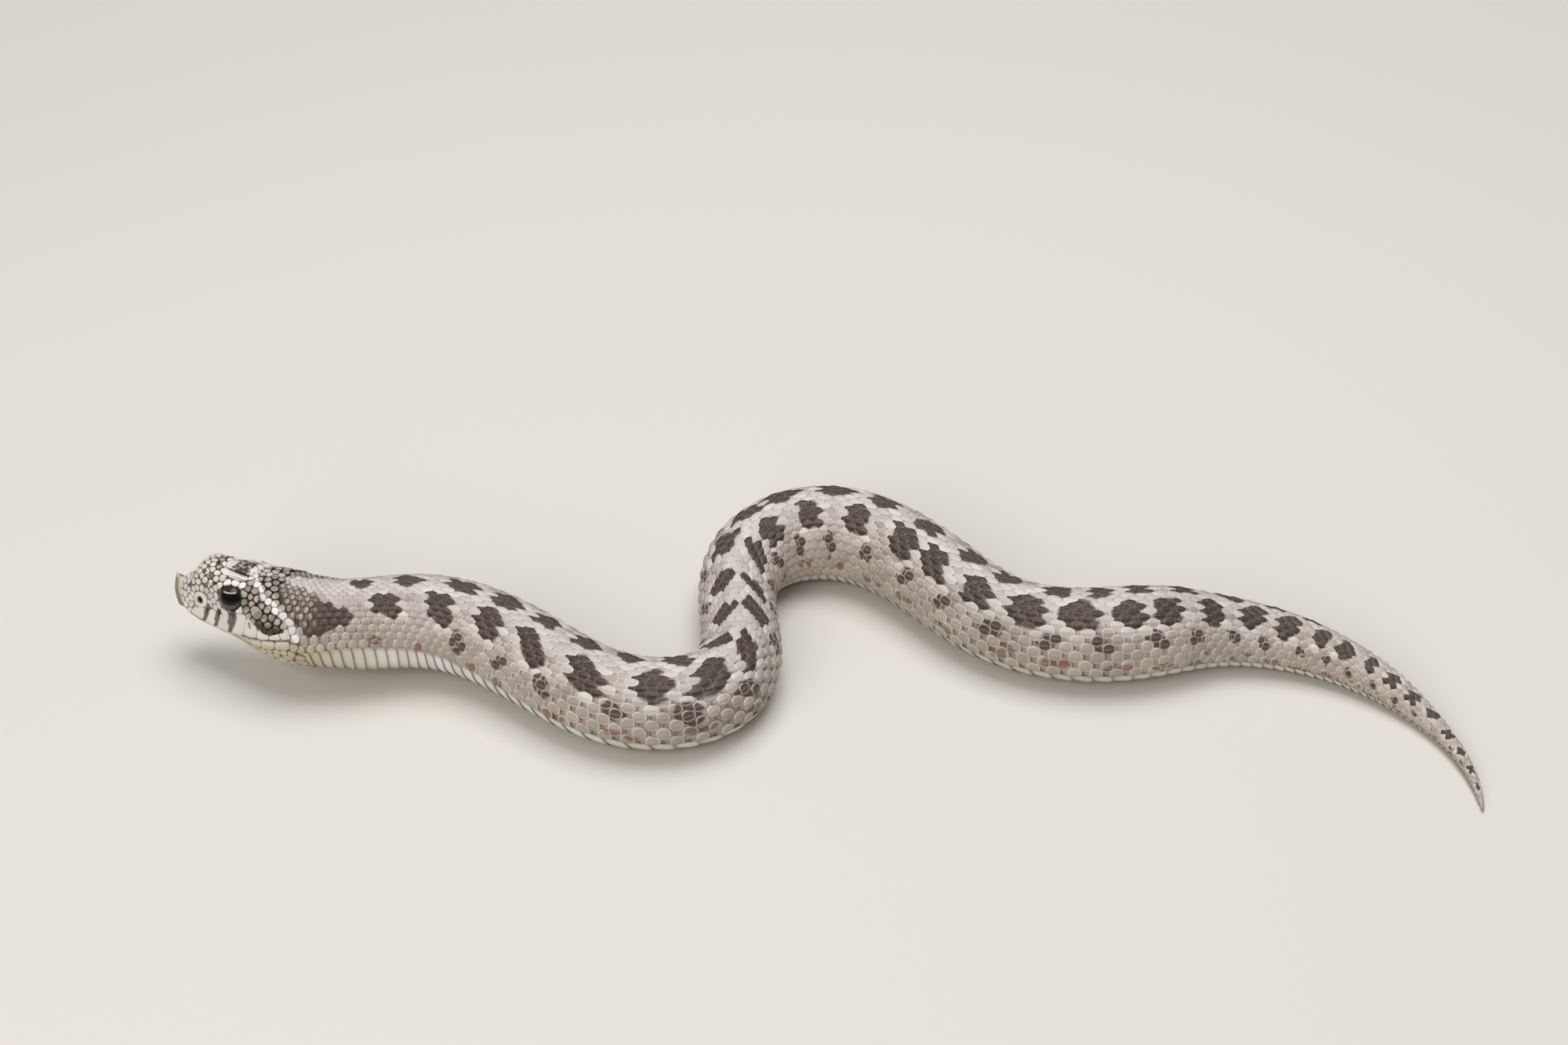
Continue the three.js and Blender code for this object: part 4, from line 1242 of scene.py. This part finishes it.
def lipOutlines(lip, upper):
    shapes = []
    for start, end, farStart, farEnd in zip(lip["near"], lip["near"][1:], lip["far"], lip["far"][1:]):
        s, farS = np.linspace(start, end, 6), np.linspace(farStart, farEnd, 6)
        mouth = tableAt(head["mouth"], s, 1) + (mosaic["mouthGap"][1] if upper else -mosaic["mouthGap"][0])
        nearEdge = np.degrees(angleAtHeight(s, mouth))
        if upper:
            farEdge = tableAt(lip["edge"], farS, 1)
        else:
            lowest = np.maximum(mouth - lip["reach"], sectionOffset(s, np.full(6, 2.6))[1])
            farEdge = np.minimum(np.degrees(angleAtHeight(s, lowest)), 150)
        far = np.stack([farS, farEdge], 1)
        near = np.stack([s, nearEdge], 1)
        shapes.append(np.concatenate([near, far[::-1]]))
    return shapes


# How far each direction runs from the middle to each side of an outline, 99 where it misses.
def rayReach(outline, directions):
    a, b = outline, np.roll(outline, -1, 0)
    e = b - a
    cross = directions[:, None, 0] * e[None, :, 1] - directions[:, None, 1] * e[None, :, 0]
    cross = np.where(np.abs(cross) < 1e-9, 1e-9, cross)
    t = (a[None, :, 0] * e[None, :, 1] - a[None, :, 1] * e[None, :, 0]) / cross
    u = (a[None, :, 0] * directions[:, None, 1] - a[None, :, 1] * directions[:, None, 0]) / cross
    return np.where((t > 0) & (u >= -1e-6) & (u <= 1 + 1e-6), t, 99.0)


def isInside(outline):
    x1, y1 = outline[:, 0], outline[:, 1]
    x2, y2 = np.roll(x1, -1), np.roll(y1, -1)
    crosses = (y1 > 0) != (y2 > 0)
    at = x1 - y1 * (x2 - x1) / np.where(np.abs(y2 - y1) < 1e-12, 1e-12, y2 - y1)
    return np.count_nonzero(crosses & (at > 0)) % 2 == 1


# Plane that touches the skin at a place: its middle, an axis round the body and one towards the tail.
def touchingPlane(s, a):
    p, ts, ta, outward = skinFrame(np.array(float(s)), np.array(float(a)))
    along = unit(ts)
    around = np.cross(along, outward)
    return p, around * np.sign(np.dot(around, ta)), along


# Places in space as flat places on a plane.
def flattened(places, plane):
    p, x, y = plane
    return np.stack([(places - p) @ x, (places - p) @ y], 1)


def smoothRound(reach, times=1):
    for _ in range(times):
        reach = 0.25 * np.roll(reach, 1) + 0.5 * reach + 0.25 * np.roll(reach, -1)
    return reach


# True on the slit between the lips, where no small scale stands.
def onMouth(s, a):
    slit = mosaic["slit"]
    near = np.abs(overMouth(s, a) - slit["middle"]) < slit["half"]
    return near & (s > slit["from"]) & (s < slit["to"])


# Spreads small scales over the head outside the large plates, none too near another.
def spreadGrains(outlines, fixed, draw):
    spread = mosaic["spread"]
    rows = np.arange(spread["from"], spread["to"], spread["step"])
    around = np.arange(-180, 180, spread["turn"])
    found = np.stack(np.meshgrid(rows, around, indexing="ij"), -1).reshape(-1, 2)
    found = found + draw.uniform(-1, 1, found.shape) * spread["scatter"]
    turned = np.abs(found[:, 1])
    last = coatStart(turned) + spread["throatMore"] * easeUp(turned, *spread["throat"])
    found = found[(found[:, 0] < last - spread["beforeCoat"]) & (found[:, 0] > spread["from"])]
    found = found[draw.permutation(len(found))]
    p = skinPoint(found[:, 0], np.radians(found[:, 1]))
    size = grainSize(found[:, 0], found[:, 1])
    keep = ~nearOutlines(p, found, outlines, spread["clear"])
    keep &= ~onMouth(found[:, 0], np.radians(found[:, 1]))
    for side in (1, -1):
        off, out = fromEye(p, side)
        keep &= (off > mosaic["eyeClear"]) | (out < -1)
    found, p, size = found[keep], p[keep], size[keep]
    chosen = []
    held, heldSize = fixed
    for k in range(len(found)):
        away = np.linalg.norm(held - p[k], axis=1)
        if np.any(away < spread["apart"] * (heldSize + size[k])):
            continue
        chosen.append(k)
        held, heldSize = np.vstack([held, p[k]]), np.append(heldSize, size[k])
    return found[chosen], size[chosen]


# True where a place of the skin lies inside or too near an outline.
def nearOutlines(p, found, outlines, margin):
    blocked = np.zeros(len(p), bool)
    reach, depth = mosaic["outlineSight"]
    _, _, ta, outward = skinFrame(found[:, 0], np.radians(found[:, 1]))
    x = unit(ta)
    y = np.cross(outward, x)
    for outline in outlines:
        near = np.linalg.norm(p[:, None] - outline[None], axis=2).min(1) < reach
        for k in np.nonzero(near)[0]:
            flat = flattened(outline, (p[k], x[k], y[k]))
            beside = np.abs((outline - p[k]) @ outward[k]).max() < depth
            blocked[k] |= (isInside(flat) and beside) or np.linalg.norm(flat, axis=1).min() < margin
    return blocked


# Lets the small scales push each other even, away from the plates and the eyes.
def relaxGrains(found, size, fixed, outlines):
    s, a = found[:, 0].copy(), np.radians(found[:, 1])
    held, heldSize = fixed
    border = np.concatenate(outlines)
    relax, own = mosaic["relax"], size[:, None]
    for _ in range(relax["rounds"]):
        p = skinPoint(s, a)
        push = np.zeros_like(p)
        atBorder = own * relax["border"] + np.zeros(len(border))
        for others, reach in ((p, own + size), (held, own + heldSize), (border, atBorder)):
            away = p[:, None] - others[None]
            gap = np.linalg.norm(away, axis=2)
            gap = np.where(gap < 1e-6, 99, gap)
            force = np.maximum(reach * relax["reach"] - gap, 0) / gap
            push += (away * force[..., None]).sum(1) * relax["push"]
        for side in (1, -1):
            off, out = fromEye(p, side)
            seat, axis, _, _ = eyeAxes(side)
            radial = unit(p - seat - ((p - seat) @ axis)[:, None] * axis)
            push += radial * (np.maximum(mosaic["eyeClear"] - off, 0) * (out > -1))[:, None]
        s, a = ontoSkin(p + push, s, a, 3)
    return s, a


# The large plates and the lip plates of both sides: name, outline and rise.
def largePlates():
    shapes = []
    for name, (points, both, rise) in mosaic["plates"].items():
        for sign in (1, -1)[:1 + both]:
            shapes.append((name, np.array(points, float) * (1, sign), rise))
    for name, upper in (("upperLip", True), ("lowerLip", False)):
        for points in lipOutlines(mosaic[name], upper):
            shapes += [(name, points * (1, sign), mosaic[name]["rise"]) for sign in (1, -1)]
    return shapes


# Scales that are placed one by one, round the eyes and beside them: distance, angle and half width.
def singleScales(blockers, draw):
    count, reach, usual, out = mosaic["ring"]
    startS, startA = mosaic["ringFrom"]
    turns = 2 * math.pi * (np.arange(count) + 0.5) / count
    rows = []
    for side in (1, -1):
        s, a = ontoSkin(roundEye(side, reach, out, turns), startS, side * startA, 12)
        singles = [(at, side * math.radians(degrees), size) for at, degrees, size in mosaic["single"]]
        standing = skinPoint(*np.array(singles).T[:2])
        nearest = np.linalg.norm(skinPoint(s, a)[:, None] - standing, axis=2).min(1)
        free = nearest > mosaic["ringApart"]
        rows += [*zip(s[free], a[free], usual * draw.uniform(*mosaic["ringSizes"], free.sum())), *singles]
    s, a, size = np.array(rows).T
    found = np.stack([s, np.degrees(a)], 1)
    kept = ~nearOutlines(skinPoint(s, a), found, blockers, mosaic["ringClear"])
    return s[kept], a[kept], size[kept]


# How far a small scale reaches in each direction until it meets its neighbours, a plate or an eye.
def grainReach(plane, size, everyone, everySize, walls, directions):
    gap = np.linalg.norm(everyone - plane[0], axis=1)
    near = (gap > 1e-6) & (gap < mosaic["sight"] + size)
    toward = unit(flattened(everyone[near], plane))
    share = np.maximum((gap[near] ** 2 + size ** 2 - everySize[near] ** 2) / (2 * gap[near]), 0.12)
    facing = np.clip(directions @ toward.T, 0, None) / share
    reach = 1 / np.maximum((facing ** mosaic["square"]).sum(1) ** (1 / mosaic["square"]), 0.2)
    for wall in walls:
        ends = np.linalg.norm(wall - plane[0], axis=1)
        if ends.min() <= mosaic["wallSight"][0]:
            close = (ends < mosaic["wallSight"][1]) & (np.roll(ends, -1) < mosaic["wallSight"][1])
            hits = np.where(close, rayReach(flattened(wall, plane), directions), 99)
            reach = np.minimum(reach, hits.min(1))
    reach = np.minimum(reach, size * mosaic["most"])
    return np.maximum(smoothRound(reach) - mosaic["gap"], 0.1)


# The edge of a large plate on its plane, evened out along its longer and shorter way.
def plateEdge(flat, directions):
    spread, turnTo = np.linalg.eigh(np.cov((flat - flat.mean(0)).T))
    stretch = np.sqrt(spread)
    reach = smoothRound(rayReach((flat @ turnTo) / stretch, directions).min(1), 2)
    edge = (reach[:, None] * directions * stretch) @ turnTo.T
    if np.linalg.det(turnTo) < 0:
        edge = edge[::-1]
    return edge * (1 - mosaic["gap"] / np.linalg.norm(edge, axis=1, keepdims=True))


def roundDirections(sides):
    turns = np.linspace(0, 2 * math.pi, sides, endpoint=False)
    return np.stack([np.cos(turns), np.sin(turns)], 1)


# One domed plate on the skin, as rings of places inside its edge.
def addPlate(plates, s, a, plane, edge, rise, tint, name="grain"):
    dome = mosaic["domes"][name if name in ("grain", "nasal") else "plate"]
    p, x, y = plane
    sides = len(edge)

    def onRings(values):
        return np.append(np.repeat(values, sides), values[-1])

    flat = np.concatenate([edge * ring for ring in dome["rings"]] + [np.zeros((1, 2))])
    lift = onRings([mosaic["low"] + rise * share for share in dome["lifts"]])
    lift[:sides] = dome["sink"]
    v = np.arange(len(flat) - 1).reshape(-1, sides)
    ahead = np.roll(v[-1], -1)
    faces = ringFaces(v) + [[int(v[-1, k]), int(ahead[k]), v.size] for k in range(sides)]
    faces.append(v[0][::-1].tolist())
    even = np.ones(len(flat))
    plates.add(len(flat), faces, guess=p + flat[:, :1] * x + flat[:, 1:] * y, start=even[:, None] * (s, a),
               lift=lift, rim=onRings(dome["seamShades"]), hole=onRings(dome["holeShades"]), tint=even * tint,
               share=even * dome["share"], large=even * (name in mosaic["mottled"]))


# Lays the gathered plates on the skin and makes one mesh of them.
def finishPlates(plates):
    got = plates.merged()
    (startS, startA), share = got["start"].T, got["share"]
    s, a = ontoSkin(got["guess"], startS, startA, 4)
    p, _, _, outward = skinFrame(s, a)
    lift = got["lift"] + sum(eyeRim(*fromEye(p, side)) for side in (1, -1))
    markS, markA = startS * (1 - share) + s * share, startA * (1 - share) + a * share
    masks = scaledMasks(markS, markA, got["tint"], got["rim"])
    masks["hole"], masks["large"] = got["hole"], got["large"]
    over = overMouth(s, a)
    # painted shade on the lower front of the lip plates and under the snout's tip
    masks["front"] = np.maximum(easeDown(s, 4.5, 7) * easeDown(over, 0.35, 0.75) * (share > 0.99),
                                0.8 * easeDown(s, 1.4, 2.4) * easeDown(over, 0.4, 1.2))
    unwrap = unwrapAt(s, np.degrees(a))
    piece = makeMesh("head_plates", p + lift[:, None] * outward, plates.faces, masks, unwrap)
    finishPiece(piece, scaleFinish)
    print("head plates:", len(piece.data.polygons), "faces")


def makeMosaic():
    draw = np.random.default_rng(mosaic["seed"])
    shapes = largePlates()
    outlines = [outlineInSpace(points) for _, points, _ in shapes]
    blockers = outlines + [shovelOutline()]
    fixedS, fixedA, fixedSize = singleScales(blockers, draw)
    # the first scales of the body hold their place too
    first = coatPlaces()
    first = first[first[:, 0] < head["end"]]
    bodyPlaces = skinPoint(first[:, 0], np.radians(first[:, 1]))
    bodySize = tableAt(coat["pitch"], first[:, 0], 1) * mosaic["coatHalf"]
    held = np.concatenate([skinPoint(fixedS, fixedA), bodyPlaces]), np.concatenate([fixedSize, bodySize])
    found, size = spreadGrains(blockers, held, draw)
    print("small scales of the head:", len(found))
    s, a = relaxGrains(found, size, held, blockers)
    clear = ~onMouth(s, a)
    s, a = np.concatenate([fixedS, s[clear]]), np.concatenate([fixedA, a[clear]])
    size = np.concatenate([fixedSize, size[clear]])
    reach, out, corners = mosaic["eyeEdge"]
    turns = np.linspace(0, 2 * math.pi, corners, endpoint=False)
    walls = blockers + [roundEye(side, reach, out, turns) for side in (1, -1)]
    everyone, everySize = np.concatenate([skinPoint(s, a), bodyPlaces]), np.concatenate([size, bodySize])
    plates = Plates()
    directions = roundDirections(mosaic["sides"])
    least, perSize = mosaic["grainRise"]
    for k in range(len(s)):
        plane = touchingPlane(s[k], a[k])
        edge = grainReach(plane, size[k], everyone, everySize, walls, directions)[:, None] * directions
        rise = least + perSize * size[k] * draw.uniform(*mosaic["riseSpread"])
        addPlate(plates, s[k], a[k], plane, edge, rise, draw.uniform(0, 1))
    directions = roundDirections(mosaic["plateSides"])
    for (name, points, rise), outline in zip(shapes, outlines):
        at, degrees = points.mean(0)
        if name == "nasal":
            at, degrees = nostril["s"], math.copysign(nostril["angle"], points[0, 1])
        plane = touchingPlane(at, math.radians(degrees))
        edge = plateEdge(flattened(outline, plane), directions)
        addPlate(plates, at, math.radians(degrees), plane, edge, rise, draw.uniform(0.2, 0.8), name)
    finishPlates(plates)


shovel = {
    # number, distance, height over the spine, half width and depth of its sections from the tip to the lip
    "rows": np.array([
        (0, -0.62, 2.15, 0.25, 0.4), (1, -0.6, 1.55, 0.95, 1.1), (2, -0.5, 0.5, 1.65, 1.35),
        (3, -0.3, -0.5, 1.95, 1.5), (4, -0.1, -1.3, 2.05, 1.7), (5, 0.0, -2.0, 1.95, 2.0),
        (6, 0.25, -2.5, 1.5, 2.1),
    ]),
    "rings": 42, "sides": 36, "power": 2.5, "drop": 1.0, "dropEnd": 2.6, "last": 6,
    # how deep in it the small scales meet it, as a share of its depth
    "meets": 0.65,
    # where the painted shade of its brown front begins, round it and along it
    "shadedFrontRound": (-0.55, -0.3), "shadedFrontAlong": (0.1, 0.4),
    # first angle and further turn of the skin whose markings it takes, and how far behind it that lies
    "markAngles": (40, 60), "markBehind": 1.0, "tint": 0.5, "seam": (6, 0.4),
}


# Outline on the skin where the shovel plate meets the small scales.
def shovelOutline():
    rows = np.linspace(0, shovel["last"], 25)
    start, upward, half, thick = (tableAt(shovel["rows"], rows, k) for k in (1, 2, 3, 4))
    s = start + thick * shovel["meets"]
    places = []
    for side in (1, -1):
        centre, _, left, up = sectionFrame(s)
        edge = centre + side * half[:, None] * left + upward[:, None] * up
        at, turn = ontoSkin(edge, s, side * np.full(len(s), 1.2), 8)
        places.append(skinPoint(at, turn))
    return np.concatenate([places[0], places[1][::-1]])


def makeShovel():
    t = np.linspace(0, shovel["last"], shovel["rings"])
    s0, upward, half, thick = (tableAt(shovel["rows"], t, k) for k in (1, 2, 3, 4))
    turn = np.linspace(0, 2 * math.pi, shovel["sides"], endpoint=False)
    cosine, sine = rounded(np.cos(turn), shovel["power"]), rounded(np.sin(turn), shovel["power"])
    s = s0[:, None] + thick[:, None] * (1 + cosine[None]) / 2
    sideways = half[:, None] * sine[None]
    centre, _, left, up = sectionFrame(s)
    # down from its rim to the snout
    fall = shovel["drop"] * easeDown(t, 0, shovel["dropEnd"])[:, None] * (1 + cosine[None]) / 2
    p = centre + sideways[..., None] * left + (upward[:, None] - fall)[..., None] * up
    p = p.reshape(-1, 3)
    v = np.arange(s.size).reshape(s.shape)
    n = np.roll(v, -1, 1)
    faces = np.stack([v[:-1], v[1:], n[1:], n[:-1]], -1).reshape(-1, 4).tolist()
    faces = facingOut(p, faces + [v[0].tolist(), v[-1][::-1].tolist()])
    even = np.ones_like(s)
    front = easeUp(-cosine, *shovel["shadedFrontRound"]) * easeUp(t, *shovel["shadedFrontAlong"])[:, None]
    (first, further), (power, most) = shovel["markAngles"], shovel["seam"]
    angle = np.sign(sine) * np.radians(first + further * (t / shovel["last"]))[:, None]
    # the shovel's side edges get a dark seam, partly painted shade
    masks = scaledMasks(s + shovel["markBehind"], angle, shovel["tint"], np.abs(sine) ** power * most)
    masks["snout"], masks["front"], masks["dot"] = even.ravel(), front.ravel(), 0 * even.ravel()
    unwrap = np.stack([turn / (2 * math.pi) * even, t[:, None] / shovel["last"] * even], -1).reshape(-1, 2)
    piece = makeMesh("snout_shovel", p, faces, masks, unwrap)
    finishPiece(piece, scaleFinish)


makeMosaic()
makeShovel()
print("head made")


eyeFinishSet = {
    # the arc colour is a painted reflection of the sky across the top of the pupil
    "pupil": "#050505", "iris": "#6f6a58", "irisEdge": "#26231f", "arc": "#b9b3a9",
    # half width and half height of the pupil, then of the iris, in eye radii
    "pupilHalf": (0.79, 0.52), "irisHalf": (0.9, 0.78),
    "reflectionHeight": 0.36, "reflectionBow": 0.25, "reflectionHalf": 0.05, "reflectionEnd": 0.5,
    "rough": 0.1, "coat": 0.15, "coatRough": 0.05, "specular": 0.2,
    "rings": 26, "around": 40,
}


def makeEyeFinish():
    f = Finish("wet_eye")
    look = eyeFinishSet
    x, y, facing = f.mask("acrossEye"), f.mask("upEye"), f.mask("facing")
    c = {key: colour(value) for key, value in look.items() if isinstance(value, str)}
    fleck = f.noise(2500, 3.0, 0.7)

    def oval(halfWide, halfHigh):
        across, up = x / halfWide, y / halfHigh
        return across * across + up * up

    iris = f.mix(fleck.step(0.3, 0.7), c["irisEdge"], c["iris"])
    # the iris darker towards its top: painted shadow of the brow
    iris = f.mix(y.step(0.1, 0.4) * 0.85, iris, c["irisEdge"])
    base = f.mix(oval(*look["pupilHalf"]).step(0.92, 1.04), c["pupil"], iris)
    base = f.mix(oval(*look["irisHalf"]).step(0.9, 1.1), base, c["irisEdge"])
    # painted reflection of the sky: a pale bowed arc above the pupil's middle
    over = y - look["reflectionHeight"] - x * x * look["reflectionBow"]
    inReflection = 1 - (over * over).step((0.7 * look["reflectionHalf"]) ** 2, (1.5 * look["reflectionHalf"]) ** 2)
    inReflection = inReflection * (1 - (x * x).step((0.8 * look["reflectionEnd"]) ** 2, look["reflectionEnd"] ** 2))
    base = f.mix(inReflection * facing.step(0.4, 0.6) * 0.85, base, c["arc"])
    return f.set(Base_Color=base, Roughness=look["rough"], Coat_Weight=look["coat"],
                 Coat_Roughness=look["coatRough"], Specular_IOR_Level=look["specular"])


def makeEyes():
    finish = makeEyeFinish()
    rings, around = eyeFinishSet["rings"], eyeFinishSet["around"]
    for name, side in (("left", 1), ("right", -1)):
        seat, axis, across, over = eyeAxes(side)
        tilt = np.linspace(0, math.pi, rings + 1)[1:-1, None]
        turn = np.linspace(0, 2 * math.pi, around, endpoint=False)[None, :]
        out = np.cos(tilt) * np.ones_like(turn)
        x, y = np.sin(tilt) * np.cos(turn), np.sin(tilt) * np.sin(turn)
        ball = out[..., None] * axis + x[..., None] * across + y[..., None] * over
        places = np.concatenate([ball.reshape(-1, 3), [axis], [-axis]]) * eyeSet["radius"] + seat
        v = np.arange((rings - 1) * around).reshape(rings - 1, around)
        n = np.roll(v, -1, 1)
        first, last = v.size, v.size + 1
        quads = np.stack([v[:-1], v[1:], n[1:], n[:-1]], -1).reshape(-1, 4).tolist()
        faces = quads + [[first, int(v[0, k]), int(n[0, k])] for k in range(around)]
        faces += [[last, int(n[-1, k]), int(v[-1, k])] for k in range(around)]
        faces = facingOut(places, faces)
        pupilAxis = pupilDirection(side)
        pupilAcross = unit(np.cross(pupilAxis, (0, 0, 1.0)))
        turned = (places - seat) / eyeSet["radius"]
        facing = turned @ pupilAxis
        masks = {"acrossEye": np.where(facing > 0, turned @ pupilAcross, 2), "facing": facing,
                 "upEye": turned @ np.cross(pupilAcross, pupilAxis)}
        disc = 0.5 + 0.45 * np.stack([x, y], -1).reshape(-1, 2)
        unwrap = np.concatenate([disc, [[0.5, 0.5]] * 2])
        piece = makeMesh(f"eyeball_{name}", places, faces, masks, unwrap)
        finishPiece(piece, finish)
        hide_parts(f"eye_{name}")


makeEyes()
print("eyes made")


def makeStage():
    f = Finish("pale_floor")
    f.set(Base_Color=colour("#d9d6d0"), Roughness=0.9)
    half = 1.6  # metres from the middle to each side
    corners = [(x * half, y * half, 0) for x, y in ((-1, -1), (1, -1), (1, 1), (-1, 1))]
    data = bpy.data.meshes.new("floor")
    data.from_pydata(corners, [], [(0, 1, 2, 3)])
    floor = bpy.data.objects.new("floor", data)
    data.materials.append(f.material)
    scene.collection.objects.link(floor)


makeStage()

lights = {
    # place, side of its square, strength in watts, warmth
    "overhead": ((0.05, 0.12, 0.75), 0.55, 4.3, (1.0, 0.985, 0.96)),
    "front": ((-0.35, -0.55, 0.45), 0.5, 2.9, (1.0, 0.97, 0.93)),
    "world": 0.29,
}


def makeLights():
    for name in ("overhead", "front"):
        place, size, watts, tone = lights[name]
        data = bpy.data.lights.new(name, "AREA")
        data.shape, data.size, data.energy, data.color = "SQUARE", size, watts, tone
        lamp = bpy.data.objects.new(name, data)
        lamp.location = place
        lamp.visible_glossy = name != "front"  # keeps one clean highlight in the eyes
        lamp.rotation_euler = (Vector((0, 0.03, 0)) - Vector(place)).to_track_quat("-Z", "Y").to_euler()
        scene.collection.objects.link(lamp)
    world = bpy.data.worlds.new("studio")
    world.use_nodes = True
    ground = world.node_tree.nodes["Background"]
    ground.inputs["Color"].default_value = (0.95, 0.97, 1.0, 1)
    ground.inputs["Strength"].default_value = lights["world"]
    scene.world = world
    scene.view_settings.view_transform = "Standard"


makeLights()
print("lights and floor set")
